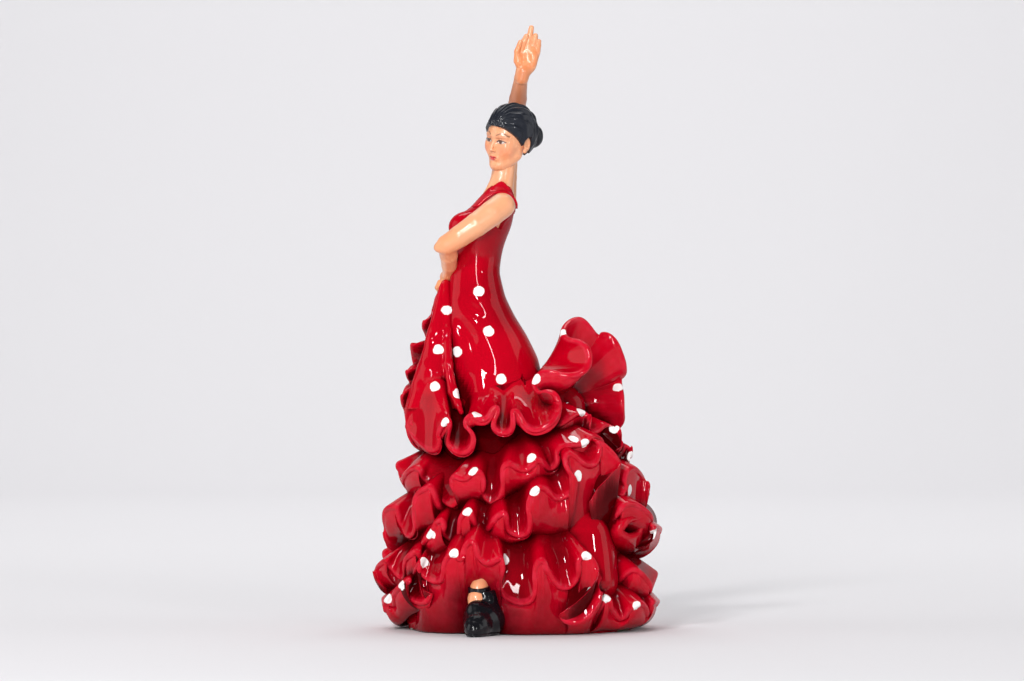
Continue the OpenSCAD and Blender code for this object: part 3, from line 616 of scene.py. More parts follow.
def long_hem():
    """Rows of hem, seam, foot and fill along the top tier and the train."""
    rows = []
    for i, (x, z, d, seam_x, seam_z) in enumerate(TOP):
        seam_y = -20 + 0.4 * max(0, i - 44)
        foot = skirt_point(angle_at(x * 0.92, 77, 0.3), np.clip(z - 3, 77, 84), 0.3)
        rows.append([*marks([(x, z, d)])[0, :3], seam_x, seam_y, seam_z, *foot, 1])
    rows += TRAIN
    rows += [(*row, *TRAIN[-1][6:9], 0) for row in TRAIN_FREE]
    line = trace(rows)
    # The train's own folds are a little rounder than the front's
    late = soft_step(np.arange(len(line)) / len(line), 0.56, 0.66)[:, None]
    return line * (1 - late) + smooth_line(line, 1.9) * late


def front_of(x, centre_x, centre_y, radius):
    """The y of the front of an upright rod at x."""
    return centre_y - np.sqrt(np.clip(radius ** 2 - (x - centre_x) ** 2, 0, 99))


def hidden_seam(x, z):
    """The y at which the top tier's seam meets the body or the lifted cloth."""
    mid_x, half_x, half_y = trunk_rings(z)
    on_body = -half_y * np.sqrt(np.clip(1 - ((x - mid_x) / half_x) ** 2, 0, 1))
    on_side = front_of(x, -25, -6.2, 6.1644)
    cloth_x, cloth_y, cloth_r = (np.interp(z, [88, 104, 120], row)
                                 for row in ([-36.5, -35.5, -33], [-13.5, -12, -8], [7.6, 5.8, 3.9]))
    on_cloth = np.clip(front_of(x, cloth_x, cloth_y, cloth_r), -22, -9)
    return smooth_line(np.minimum(np.minimum(on_body, on_side), on_cloth)[:, None], 1.5)[:, 0]


def top_tier_and_train():
    """The two castings of the long hem, in front and standing up behind."""
    line = long_hem()
    share = np.linspace(0, 1, len(line))
    # early is 1 along the front tier and falls to 0 where the train begins
    past_start = np.arange(len(line)) > 0.3 * len(line)
    early = np.minimum.accumulate(1 - soft_step(line[:, 0], 3, 9) * past_start)
    seam = smooth_line(line[:, 3:6], 5)
    # The top tier is gathered a little above its marks, where it meets the body
    seam[:, 2] += 5.0 * early
    seam[:, 1] = seam[:, 1] * (1 - early) + early * hidden_seam(seam[:, 0], seam[:, 2])
    aim = smooth_line(line[:, :3], 12) - seam
    in_front = (np.arange(len(line)) < 0.52 * len(line))[:, None]
    out = np.where(in_front, aim * np.array([0.6, 1, 0]) + np.array([0, -6, 9]), np.array([0.3, -1, 0.1]))
    out = unit(smooth_line(unit(out), 16))
    bulge = early * np.interp(seam[:, 0], [-35, -30, -25], [1.4, 0.4, -6.2])
    bulge = bulge + (1 - early) * np.interp(share, [0.42, 0.52, 0.6, 0.75, 1], [-6.0, -3.0, 0.0, -2.0, -3.0])
    surface = ruffle(seam, line[:, :3], smooth_line(line[:, 6:9], 5), np.clip(line[:, 9], 0, 1), out, False,
                     bulge=bulge, rows=46, pleat=0.15, power=2.6, shade=0.85)
    split = int(np.argmin(np.linalg.norm(line[:, :3] - np.array(TRAIN[0][:3]), axis=1)))
    back_hem = np.vstack([marks(BACK_TOP), wander(14, 200, (82, 80), (10, 8), seed=71)])
    front = joined(([part[:split + 1] for part in surface], False), skirt_ruffle(back_hem, rise=12, drop=8))
    return front, joined(([part[split:] for part in surface], False), train_knot())


def train_knot():
    """The solid lump that the train's folds grow out of, painted dark as shade under them."""
    turn, lift = np.meshgrid(np.linspace(-math.pi, math.pi, 48, endpoint=False), np.linspace(-1.5, 1.5, 24),
                             indexing="ij")
    knot = np.stack([16 + 10.5 * np.cos(turn) * np.cos(lift), -7 + 7.5 * np.sin(turn) * np.cos(lift),
                     91 + 9 * np.sin(lift)], -1)
    return (knot, np.full(turn.shape, 0.35), np.zeros(turn.shape)), True


# ---------------------------------------------------------------- the rest of the dress
# The ruffled edge of the lifted cloth: its hem and the place that it is gathered from
EDGE = [
    (-33.6, 3, 139, -31.5, 3, 139), (-34.8, 1, 135, -32, 2, 134), (-36.2, 3, 131, -32.6, 1.5, 129.5),
    (-36.6, -1, 128, -33, 0.5, 127), (-38.6, -3, 125.6, -33.4, 0, 125), (-39.7, 0, 122.8, -33.8, -0.5, 123),
    (-39.2, 4, 120.4, -34.2, -1, 121), (-38.8, 2, 118.4, -34.6, -1.4, 119.4),
    (-41, -3, 117.4, -35, -1.8, 118), (-43.6, -5, 116, -35.4, -2.2, 116.5),
    (-44.3, -1, 113.4, -35.8, -2.6, 114.6), (-44.4, 3, 110.6, -36.2, -3, 112.6),
    (-44, 2, 108.4, -36.4, -3.4, 110.6), (-44.8, -3, 107.4, -36.6, -3.8, 109),
    (-45.8, -6, 105.4, -36.9, -4.2, 107.4), (-45.9, -2, 102.6, -37.2, -4.6, 105.4),
    (-45.6, 2, 100.8, -37.5, -5, 103.6), (-46.8, -3, 99.2, -37.8, -5.4, 102),
    (-47.7, -7, 96.2, -38.2, -5.8, 100.4), (-48, -4, 92.6, -38.6, -6.2, 98.6),
    (-47.6, 1, 89.4, -39, -6.6, 97), (-47, 0, 86.6, -39.2, -7, 95.6), (-46.8, -3, 83, -39.4, -7.4, 94),
    (-45.6, -2, 78.4, -39.4, -7.6, 92), (-43, 0, 75.4, -39, -7.6, 90), (-40, 2, 73.8, -38, -7, 88)]


def panel_ruffle():
    line = trace(EDGE)
    out = np.tile(unit(np.array([-0.45, -0.9, 0.1])), (len(line), 1))
    surface = ruffle(line[:, 3:6], line[:, :3], line[:, 3:6], 0, out, False,
                     bulge=1.6, rows=26, rim=0.95, reach=8, pleat=0.3, roll=1.0)
    return joined((surface, False))


def skirt_core():
    """The smooth skirt behind the flounces, drawn back into a hollow behind the foot, with painted shade in
    the hollow and on its upper part between the flounces.
    """
    ang = np.linspace(-180, 180, 360, endpoint=False)
    wave = 0.5 * np.sin(np.radians(5 * ang + 20))
    # The first ring closes the underside
    rings = [skirt_point(ang, 0 * ang, wave - 6)]
    for z in (0.0, *np.linspace(0.3, 100, 120)):
        inset = 1.2 * (1 - soft_step(z, 0, 3.5))
        rings.append(skirt_point(ang, z + 0 * ang, wave * (1 - soft_step(z, 0, 40)) - inset))
    grid = np.stack(rings, 1)
    arch = hollow(grid)
    grid[..., 1] += 11 * arch
    a = np.arctan2(grid[..., 1], grid[..., 0])
    # A fold swells out to the right of the foot
    fold = 8.5 * bell(np.degrees(a) + 47, 15) * between(grid[..., 2], 6, 22, 40, 60)
    grid[..., :2] += fold[..., None] * np.stack([np.cos(a), np.sin(a)], -1)
    v = grid.reshape(-1, 3)
    # Painted shade: dark in the hollow behind the foot and above 52 mm, where the skirt shows only between
    # flounces
    tone = np.clip(0.5 - 0.45 * arch.ravel() - 0.55 * soft_step(v[:, 2], 52, 66), -0.1, 1)
    return v, outward(v, grid_faces(*grid.shape[:2], True)), tone, np.zeros(len(v))


def folds(clay, amount):
    """Soft drapery that fans down from the held cloth across the hip."""
    x, y, z = clay.x, clay.y, clay.z
    u = np.arctan2(z - 150, x + 46)
    r = np.sqrt((x + 46) ** 2 + (z - 150) ** 2)
    band = between(r, 20, 34, 62, 84) * soft_step(-x, 4, 20) * soft_step(-y, -2, 6)
    return amount * band * (1 - soft_step(z, 126, 143)) * (0.5 + 0.5 * np.sin(u * 26 + 0.06 * r))


def dress_body():
    body = Clay((-32, -24, 82), (18, 24, 184), 0.34)
    x, y, z = body.x, body.y, body.z
    shape = blend_min(trunk(body), body.cone((-22.8, -2, 152), (-25.5, -7, 92), 4.0, 7.0), 5.0)
    neckline = np.interp(x, [-32, -24, -14, -9, -4, 2], [166.5, 168.6, 173.6, 175.4, 173.5, 171])
    scoop = np.sqrt(np.clip((z - neckline) / 11, 0, 4)) * 7.4 - np.abs(y)
    scoop = np.minimum(scoop, z - neckline)
    arm_hole = (np.sqrt(((x + 6.6) / 6.0) ** 2 + ((z - 171) / 8.0) ** 2) - 1) * 6.0
    bare = np.maximum(np.maximum(scoop, -np.maximum(arm_hole, 9.6 - np.abs(y))), z - 181.2)
    cloth, rolled_hem = 0.75, 0.22
    body.d = shape - cloth - folds(body, 0.8) - rolled_hem * bell(bare, 0.55)
    body.keep(bare * 0.9)
    v, q = body.mesh()
    # Painted shade darkens the bodice above the waist, most towards the viewer's right, away from the light
    waist = soft_step(v[:, 2], 112, 130) * (0.6 + 0.4 * soft_step(v[:, 0], -22, -10))
    return v, q, 0.85 - 0.42 * waist, np.zeros(len(v))


def shoulder_straps():
    """A raised band over each shoulder."""
    straps = Clay((-26, -14, 166), (2, 14, 184), 0.22)
    band = np.maximum(np.abs(np.abs(straps.y) - 8.9) - 2.0, 172.5 - straps.z)
    straps.d = np.maximum(np.abs(trunk(straps) - 0.55) - 0.65, band * 0.9)
    return straps.painted(0.8, 0.3)


def lifted_panel():
    """Folds that hang from the hand and open towards the hem."""
    panel = Clay((-50, -36, 78), (-16, 22, 144), 0.36)
    panel.limb([((-30.5, -1, 141), 2.0), ((-33.0, -8.0, 120), 4.6), ((-35.5, -12.0, 104), 6.4),
                ((-36.3, -12.0, 88), 7.0)], 2.0)
    panel.limb([((-29.6, -1.5, 140), 1.2), ((-29.6, -11.0, 122), 1.5), ((-29.2, -16.5, 108), 1.7),
                ((-27.6, -19.5, 97), 1.8), ((-25.6, -21, 90), 1.8)], 1.6)
    panel.limb([((-31.6, -2.5, 140), 1.2), ((-36.0, -10.5, 118), 2.0), ((-40.5, -13.0, 100), 3.0),
                ((-43.0, -12, 88), 4.0)], 2.0)
    panel.cut(panel.cone((-31.2, -14.4, 128), (-31.6, -22.6, 100), 0.8, 1.4), 1.8)
    panel.keep(90 - panel.z)
    panel.limb([((-28.6, -18, 103), 1.6), ((-27.2, -20.3, 97), 1.7), ((-25.3, -22.6, 92), 1.5),
                ((-23.8, -25.4, 88.6), 1.0)], 1.2)
    return panel.painted(0.72)


flounce_1, train_flounce = top_tier_and_train()
red = {"flounce_2": flounce_2(), "flounce_3": flounce_3(), "flounce_4": flounce_4(),
       "hem_flounce": hem_flounce(), "flounce_1": flounce_1, "train_flounce": train_flounce,
       "panel_ruffle": panel_ruffle(), "skirt_core": skirt_core(), "dress_body": dress_body(),
       "shoulder_straps": shoulder_straps(), "lifted_panel": lifted_panel()}

# ---------------------------------------------------------------- the dress's paint
# Polka dots (x, z) in front; those at the back are spread by rule
DOTS = [
    (-29.9, 130.8), (-32.8, 114.8), (-35.3, 99.6), (-26.2, 114), (-24.6, 96.8), (-16.4, 138.6),
    (-12.2, 122.2), (-7, 102.9), (5.3, 102.5), (-16.8, 88.8), (-31.2, 84.5), (16.8, 121.8), (39.4, 99.2),
    (25, 89.8), (38, 83), (21.7, 78.7), (26.7, 76), (3.7, 71.3), (-19.7, 66.4), (23.6, 63.4), (5.7, 58.4),
    (45, 57.4), (-22.1, 50), (-36.9, 39.6), (-26.9, 33.3), (-5.5, 30.8), (26.7, 31.8), (-38, 28.7),
    (-48.4, 19.2), (55, 39), (34.9, 15.6), (47.4, 10.7), (-54.8, 13.4), (44.2, 70)]
# The distance painted where no dot is near
NO_DOT = 99.0


def front_point(v, x, z):
    """The foremost point at this x and z."""
    near = np.where((np.abs(v[:, 0] - x) < 0.7) & (np.abs(v[:, 2] - z) < 0.7))[0]
    return v[near[np.argmin(v[near, 1])]] if len(near) else np.array([999, 0, 0])


def scatter(pool, spacing, seed, tries=6000):
    """Points of the pool that are no closer together than the spacing."""
    chosen = []
    for i in np.random.RandomState(seed).permutation(len(pool))[:tries]:
        if all(np.linalg.norm(pool[i] - c) > spacing for c in chosen):
            chosen.append(pool[i])
    return chosen


def dot_distance(verts, centres):
    best = np.full(len(verts), NO_DOT)
    for c in centres:
        near = np.where(np.abs(verts[:, 2] - c[2]) < 4)[0]
        best[near] = np.minimum(best[near], np.linalg.norm(verts[near] - c, axis=1))
    return best


def crevices(parts):
    """How deep each vertex sits among its neighbours: 0 in the open, 1 in a crevice.

    The surface is marked in voxels of 1 mm and blurred, and the blur is read just off the surface.
    """
    whole = np.vstack([v for v, q in parts])
    margin, half, sigma, probe = 14, 9, 3.2, 2.6
    low = whole.min(0) - margin
    room = np.zeros(np.ceil(whole.max(0) + margin - low).astype(int), np.float32)
    room[tuple(np.round(whole - low).astype(int).T)] = 1
    w = kernel(half, sigma)
    for axis in range(3):
        room = sum(w[i] * np.roll(room, i - half, axis) for i in range(len(w)))
    result = []
    for v, q in parts:
        a, b, c = (v[q[:, i]] for i in range(3))
        face = np.cross(b - a, c - a)
        normal = np.zeros_like(v)
        for i in range(4):
            np.add.at(normal, q[:, i], face)
        at = np.clip(np.round(v + probe * unit(normal) - low).astype(int), 0, np.array(room.shape) - 1)
        result.append(soft_step(room[tuple(at.T)], 0.17, 0.38))
    return result


whole = np.vstack([part[0] for part in red.values()])
dots = [front_point(whole, x, z) for x, z in DOTS] + scatter(
    whole[whole[:, 1] > 5], spacing=17, seed=5)
pieces = {}
for (node, (v, q, tone, edge)), crevice in zip(red.items(), crevices([part[:2] for part in red.values()])):
    x, y, z = v.T
    # The top tier's upper edge blends into the body, and painted shade darkens the skirt round the foot
    hip_seam = soft_step(z, 94, 99) * (1 - soft_step(x, 0, 8)) * (node == "flounce_1")
    shade_by_foot = bell(x + 15, 17) * (1 - soft_step(z, 12, 30)) * soft_step(-y, 10, 25)
    tone = np.clip(tone + 0.12, 0, 1) * (1 - hip_seam) + 0.95 * hip_seam
    # Painted shade darkens the crevices, least along the top tier's seam
    tone = tone * (1 - 0.9 * crevice * (1 - 0.8 * hip_seam)) * (1 - 0.95 * shade_by_foot)
    dot = NO_DOT if node == "shoulder_straps" else dot_distance(v, dots)
    pieces[node] = make_mesh(node, v, q, {"tone": tone, "edge": edge * (1 - crevice), "dot": dot})

# ---------------------------------------------------------------- skin
SKIN = np.array([0.80, 0.37, 0.19])
WARM = np.array([0.80, 0.27, 0.10])
# The colour of painted shade on the skin
SKIN_SHADE = np.array([0.33, 0.11, 0.055])
# The near hand, closed on the cloth, and the near arm
HAND = np.array([-30.0, 6.5, 141.5])
SHOULDER, ELBOW, WRIST = (-7.4, -15.4, 172.6), (-29.8, -18.6, 156.6), (-29.2, -0.5, 145.4)
CREASE = (-27.5, -13.6, 157.8)


def lay(paint, mask, colour):
    """Paint with a colour laid over it where the mask is 1."""
    m = np.clip(mask, 0, 1)[:, None]
    return paint * (1 - m) + np.array(colour) * m


def skin_piece(node, clay, warm, deep):
    """A skin piece, with an airbrushed warm tone and painted shade in its recesses, given as functions of its
    points.
    """
    v, q = clay.mesh()
    ones = np.ones(len(v))
    paint = lay(lay(np.tile(SKIN, (len(v), 1)), warm(v) * ones, WARM), deep(v) * ones, SKIN_SHADE)
    return make_mesh(node, v, q, colour=paint)


def reach(v, centre):
    return np.linalg.norm(v - np.array(centre), axis=1)


def neck_and_chest():
    chest = Clay((-28, -14.5, 160), (2, 14.5, 193), 0.24)
    chest.d = trunk(chest)
    for s in SIDES:
        chest.add(chest.cone((-14.6, s * 2.6, 176.6), (-11.5, s * 9.5, 177.2), 0.6, 0.6), 1.4)
        chest.add(chest.cone((-6.5, s * 4.0, 192), (-13.8, s * 1.6, 178.4), 0.9, 0.6), 1.8)
    chest.keep(161 - chest.z)
    # Painted shade under the chin
    return skin_piece(
        "neck_and_chest", chest, lambda v: 0.35 * (1 - soft_step(v[:, 2], 168, 176)),
        lambda v: 0.35 * bell(v[:, 2] - 188.5, 2.2) * soft_step(-v[:, 0], 6, 11))


def bent_arm():
    """The near arm, its elbow towards the viewer's left, its fingers closed on the cloth."""
    arm = Clay((-38, -28, 134), (2, 14, 182), 0.24)
    arm.limb([(SHOULDER, 5.2), ((-11.5, -17.6, 169.4), 5.15), ((-17.6, -19.4, 164.8), 4.9),
              ((-24.5, -19.6, 160), 4.5), (ELBOW, 4.1)], 0.4)
    arm.limb([(ELBOW, 4.0), ((-29.2, -13, 152.6), 3.6), ((-29.0, -6.5, 148.8), 3.2), (WRIST, 2.6)], 0.5)
    arm.add(arm.ball((-33.2, -19.4, 155.4), (1.9, 1.9, 1.8)), 1.6)
    arm.limb([(WRIST, 2.5), ((-29.8, 4.0, 144.0), 3.0), ((-30.2, 6.6, 142.4), 2.7)], 1.2)
    for n, off in enumerate((-2.5, -0.9, 0.8, 2.4)):
        knuckle = HAND + np.array([off * 0.75 - 1.2, -1.4 + 0.2 * n, 1.6 - 0.45 * abs(off)])
        middle = knuckle + np.array([-1.0, -1.6, -2.2])
        tip = middle + np.array([1.1, 0.9, -1.9])
        arm.limb([(knuckle, 1.15), (middle, 1.05), (tip, 0.9)], 0.25)
    thumb = (((2.2, -1.2, 1.8), 1.3), ((1.9, -3.2, -0.8), 1.1), ((0.9, -3.6, -2.6), 0.9))
    arm.limb([(HAND + np.array(place), r) for place, r in thumb], 0.3)
    # Painted shade in the elbow's crease and under the closed hand
    return skin_piece(
        "bent_arm", arm,
        lambda v: 0.55 * bell(reach(v, ELBOW), 7) + 0.6 * (1 - soft_step(v[:, 2], 143, 149)),
        lambda v: 0.35 * bell(reach(v, CREASE), 3.0) + 0.45 * (1 - soft_step(v[:, 2], 136.5, 141)))


def raised_arm():
    """The far arm, folded behind the head."""
    arm = Clay((-10, 6, 170), (8, 38, 234), 0.26)
    elbow = ((-4.2, 30.2, 203), 3.8)
    arm.limb([((-6.4, 14.0, 175.5), 4.8), ((-5.6, 20, 186), 4.2), ((-4.9, 26.2, 196), 4.0), elbow], 0.5)
    arm.limb([elbow, ((-2.4, 25, 210.5), 4.1), ((-0.9, 17.5, 218.5), 3.6), ((0.3, 11.5, 226.5), 2.75),
              ((0.9, 10.6, 230), 2.7)], 0.5)
    # Painted shade along the forearm
    return skin_piece("raised_arm", arm, lambda v: 0.4 * soft_step(v[:, 2], 196, 216),
                      lambda v: 0.8 * bell(v[:, 2] - 218, 9))


# Root, middle and tip of each raised finger, and its radius
FINGERS = [
    ((0.6, 10.1, 237.6), (1.5, 9.3, 241.4), (2.5, 8.6, 243.6), 1.35),
    ((3.0, 10.3, 239.0), (3.9, 9.7, 243.4), (4.6, 9.4, 247.2), 1.35),
    ((5.2, 10.3, 238.8), (5.9, 9.6, 242.0), (6.3, 9.0, 243.9), 1.35),
    ((7.0, 10.2, 237.4), (7.4, 9.6, 239.8), (7.7, 9.0, 241.6), 1.2)]


def raised_hand():
    """Palm towards the viewer, the fingers fanned a little at the tips."""
    hand = Clay((-6, 4, 224), (12, 17, 252), 0.13)
    hand.limb([((0.6, 10.8, 226.0), 2.7), ((1.4, 10.4, 229.2), 2.85)], 0.8)
    hand.add(hand.ball((2.4, 10.4, 233.8), (4.7, 2.2, 6.0)), 1.2)
    hand.add(hand.ball((4.6, 10.2, 237.2), (3.6, 1.9, 4.4)), 1.0)
    hand.add(hand.ball((-0.6, 9.3, 233.8), (1.7, 1.6, 3.2)), 0.9)
    hand.add(hand.ball((5.6, 9.3, 234.4), (1.5, 1.3, 3.0)), 0.9)
    hand.cut(hand.ball((2.6, 7.2, 235.0), (1.8, 1.3, 2.8)), 0.9)
    for root, middle, tip, r in FINGERS:
        hand.limb([(root, r + 0.15), (middle, r), (tip, r * 0.8)], 0.25)
    hand.limb([((-1.4, 9.4, 233.4), 1.35), ((-1.3, 8.7, 237.4), 1.15), ((0.0, 7.9, 241.2), 0.9)], 0.5)
    # Painted shade at the wrist, meeting the forearm's
    return skin_piece(
        "raised_hand", hand,
        lambda v: 0.75 * soft_step(-v[:, 1], -9.6, -8.6) * (1 - soft_step(v[:, 2], 238, 243)) + 0.25,
        lambda v: 0.30 * (1 - soft_step(v[:, 2], 228, 233)))


# ---------------------------------------------------------------- head
# The head's centre, and its turn: leaning to the viewer's right, facing the viewer's left and nodded.
# In its own frame x is to its left, -y out of the face and z up
HEAD = np.array([-4.6, -0.8, 200.2])
TURN = (Euler((0, math.radians(15), 0)).to_matrix() @ Euler((0, 0, math.radians(-40))).to_matrix()
        @ Euler((math.radians(17), 0, 0)).to_matrix()).to_euler()


def head_block(lo, hi):
    return Clay(lo, hi, 0.17).place(HEAD, TURN)


def skull(c):
    c.add(c.ball((0, 1.4, 3.4), (8.6, 10.4, 10.4)), 0)
    c.add(c.ball((0, -2.6, -1.4), (6.7, 6.9, 10.0)), 2.5)
    c.add(c.cone((0, -4.6, -8.0), (0, -6.1, -10.0), 3.9, 2.5), 2.4)
    for s in SIDES:
        c.add(c.cone((s * 5.0, -1.0, -5.4), (s * 1.8, -5.6, -9.8), 2.3, 1.9), 2.6)
        c.add(c.ball((s * 3.9, -5.9, -2.4), (2.8, 2.5, 3.2)), 2.6)


def eyes(c):
    """Brow ridges, sockets, eyeballs and lids."""
    for s in SIDES:
        c.add(c.cone((s * 1.6, -8.9, 2.6), (s * 5.0, -7.4, 2.6), 0.5, 0.5), 1.6)
        c.cut(c.ball((s * 3.3, -10.1, 0.5), (2.4, 1.7, 1.5)), 0.9)
        c.add(c.ball((s * 3.25, -7.3, 0.3), (1.9, 1.7, 1.4)), 0.25)
        c.add(c.cone((s * 1.5, -8.85, 0.45), (s * 3.2, -9.15, 1.3), 0.2, 0.3), 0.3)
        c.add(c.cone((s * 3.2, -9.15, 1.3), (s * 5.1, -8.0, 0.7), 0.3, 0.2), 0.3)
        c.add(c.cone((s * 1.7, -8.7, -0.4), (s * 4.5, -8.4, -0.7), 0.18, 0.18), 0.35)


def nose(c):
    c.add(c.cone((0, -8.9, 1.6), (0, -10.6, -2.8), 0.55, 0.72), 0.8)
    c.add(c.ball((0, -10.5, -3.2), (0.85, 0.85, 0.72)), 0.5)
    for s in SIDES:
        c.add(c.ball((s * 0.9, -9.6, -3.5), (0.62, 0.8, 0.55)), 0.4)


def mouth_and_chin(c):
    c.cut(c.cone((0, -10.2, -4.6), (0, -9.9, -5.5), 0.14, 0.22), 0.4)
    c.add(c.ball((0, -8.5, -6.5), (2.4, 1.0, 1.5)), 1.0)
    for s in SIDES:
        c.add(c.cone((s * 0.4, -9.35, -6.0), (s * 1.7, -8.9, -6.35), 0.36, 0.16), 0.25)
    c.add(c.cone((-0.9, -9.1, -7.1), (0.9, -9.1, -7.1), 0.38, 0.38), 0.35)
    c.cut(c.cone((-1.9, -9.3, -6.6), (1.9, -9.3, -6.6), 0.12, 0.12), 0.15)
    c.cut(c.cone((-1.2, -9.4, -8.3), (1.2, -9.4, -8.3), 0.4, 0.4), 0.7)
    c.add(c.ball((0, -7.7, -10.0), (1.7, 1.2, 1.3)), 1.3)


def ears(c):
    for s in SIDES:
        c.add(c.ball((s * 8.5, 1.6, -0.6), (0.9, 1.8, 2.9)), 0.4)
        c.cut(c.ball((s * 9.4, 1.2, -0.2), (0.7, 1.1, 1.7)), 0.3)
        c.add(c.ball((s * 8.4, 0.7, -3.4), (0.75, 0.9, 0.9)), 0.3)


def face_paint(v):
    """The painted face: skin, blush, eyes, brows and lips, the same on both sides."""
    x, y, z = ((v - HEAD) @ np.array(TURN.to_matrix())).T
    x = np.abs(x)
    face = soft_step(-y, 3, 6)

    def oval(at_x, at_z, rx, rz, soft=0.18):
        r = np.sqrt(((x - at_x) / rx) ** 2 + ((z - at_z) / rz) ** 2)
        return 1 - soft_step(r, 1 - soft, 1 + soft)

    def stroke(points, width, soft=0.12):
        best, p = np.full(len(v), 99.0), np.stack([x, z], 1)
        for a, b in zip(np.array(points), np.array(points[1:])):
            t = np.clip(((p - a) @ (b - a)) / ((b - a) @ (b - a)), 0, 1)
            best = np.minimum(best, np.linalg.norm(p - a - t[:, None] * (b - a), axis=1))
        return 1 - soft_step(best, width - soft, width + soft)

    paint = lay(np.tile(SKIN, (len(v), 1)), np.full(len(v), 0.16), WARM)
    # Painted shade under the chin
    paint = lay(paint, 0.22 * (1 - soft_step(z, -12, -8.5)), SKIN_SHADE)
    eye = oval(3.25, 0.3, 1.7, 0.72)
    lips = np.maximum(oval(0.65, -6.3, 1.05, 0.42, 0.2), oval(0, -7.1, 1.4, 0.52, 0.2))
    for mask, colour in (
            (0.5 * bell(x - 4.9, 2.4) * bell(z + 3.2, 2.4), (0.82, 0.20, 0.09)),
            (0.35 * oval(3.25, 1.8, 2.6, 1.3, 0.5), (0.42, 0.16, 0.10)),
            (eye, (0.74, 0.68, 0.62)),
            (eye * oval(3.2, 0.4, 0.9, 0.9), (0.045, 0.02, 0.012)),
            (stroke([(1.5, 0.15), (2.2, 0.85), (3.3, 1.1), (4.6, 0.75), (5.4, 0.35)], 0.24),
             (0.015, 0.01, 0.01)),
            (0.55 * stroke([(1.8, -0.25), (3.3, -0.5), (4.8, 0.0)], 0.12), (0.16, 0.07, 0.04)),
            (0.8 * stroke([(1.6, 3.0), (3.1, 3.75), (4.7, 3.7), (6.0, 2.8)], 0.24, 0.2),
             (0.14, 0.06, 0.03)),
            (lips, (0.60, 0.03, 0.035)),
            (stroke([(0, -6.6), (1.8, -6.55)], 0.11), (0.24, 0.015, 0.015)),
            (0.6 * bell(x - 0.8, 0.346) * bell(z + 4.15, 0.316), (0.25, 0.08, 0.05))):
        paint = lay(paint, mask * face, colour)
    return paint


def head():
    c = head_block((-18, -16, 183), (12, 14, 218))
    for part in (skull, eyes, nose, mouth_and_chin, ears):
        part(c)
    v, q = c.mesh()
    return make_mesh("head", v, q, colour=face_paint(v))


# The hair's lower edge: height by depth, in the head's own frame
HAIRLINE_Y = [-12, -8.6, -7.4, -5.6, -3, -0.8, 0.5, 2.4, 4.2, 8, 12]
HAIRLINE_Z = [7.2, 6.4, 5.2, 3.6, 1.0, -1.6, 2.2, 2.8, -3.2, -7.2, -7.6]


def hair_cap():
    """Hair combed back in strands from the brow to the coil."""
    c = head_block((-19, -17, 184), (14, 17, 220))
    skull(c)
    x, y, z = c.x, c.y, c.z
    az = np.arctan2(x, y + 14.5)
    comb = np.sin(34 * az + 2.6 * np.sin(0.3 * z)) + 0.5 * np.sin(73 * az + 1.3 + 0.2 * z)
    thick, groove = 1.25, 0.30 - 0.14 * soft_step(-y, 2, 7)
    c.d = c.d - thick - groove * comb - 0.5 * bell(np.abs(x) - 3.2, 1.8) * soft_step(-y, 0, 6)
    for s in SIDES:
        c.cut(c.ball((s * 9.2, 1.3, -1.4), (3.2, 2.6, 3.6)), 0.8)
        for start, curl in ((8.6, 0.9), (6.6, 0.75)):
            bend = (s * 3.4, -8.1, start - 0.9)
            c.add(c.cone((s * 0.8, -8.2, start), bend, curl, curl), 0.5)
            c.add(c.cone(bend, (s * 7.4, -3.4, start - 4.0), curl, 0.5), 0.8)
    c.keep((np.interp(y, HAIRLINE_Y, HAIRLINE_Z).astype(np.float32) - z) * 0.62)
    return make_mesh("hair_cap", *c.mesh(), {"tone": 0.5})


def hair_bun():
    """The coil: one groove that winds inwards."""
    c = head_block((-2, -4, 190), (22, 24, 214))
    r, turn = np.sqrt(c.x ** 2 + (c.z - 0.6) ** 2), np.arctan2(c.z - 0.6, c.x)
    groove = np.sin(2 * math.pi * (r / 2.6 - turn / (2 * math.pi)))
    c.d = c.ball((0, 14.0, 0.6), (5.4, 3.4, 5.4)) - 0.10 * np.sin(9 * r + 3 * turn)
    c.d = c.d + 0.34 * (0.5 + 0.5 * groove) * soft_step(r, 0.2, 1.2)
    return make_mesh("hair_bun", *c.mesh(), {"tone": 0.5})


def hair_flower():
    """A rose of two rings of petals, tucked behind the far ear."""
    lo, hi = (np.array(corner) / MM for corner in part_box("hair_flower"))
    centre = (lo + hi) / 2
    c = Clay(centre - 5.5, centre + 5.5, 0.13)
    c.place(centre, Euler((math.radians(-48), math.radians(-12), math.radians(-50)), "XYZ"))
    c.add(c.ball((0, 0, 0.6), (1.1, 1.1, 1.0)))
    for ring, (count, radius, size, height) in enumerate(((5, 1.15, 1.15, 0.5), (7, 2.25, 1.35, -0.2))):
        for n in range(count):
            a = 2 * math.pi * (n + 0.5 * ring) / count
            c.add(c.ball((radius * math.cos(a), radius * math.sin(a), height), (size, size, 0.75)), 0.12)
    c.cut(c.ball((0, 0, 1.7), (0.6, 0.6, 0.7)), 0.2)
    v, q = c.mesh()
    # Painted shade darkens the petals towards the middle of the rose
    tone = 0.55 + 0.4 * soft_step(reach(v, centre), 1, 3.5)
    return make_mesh("hair_flower", v, q, {"tone": tone, "edge": 0.0, "dot": NO_DOT})


# ---------------------------------------------------------------- foot and shoe
SHOE = np.array([-15.2, -43.0, 0.0])
LEAN = Euler((0, 0, math.radians(-11)))


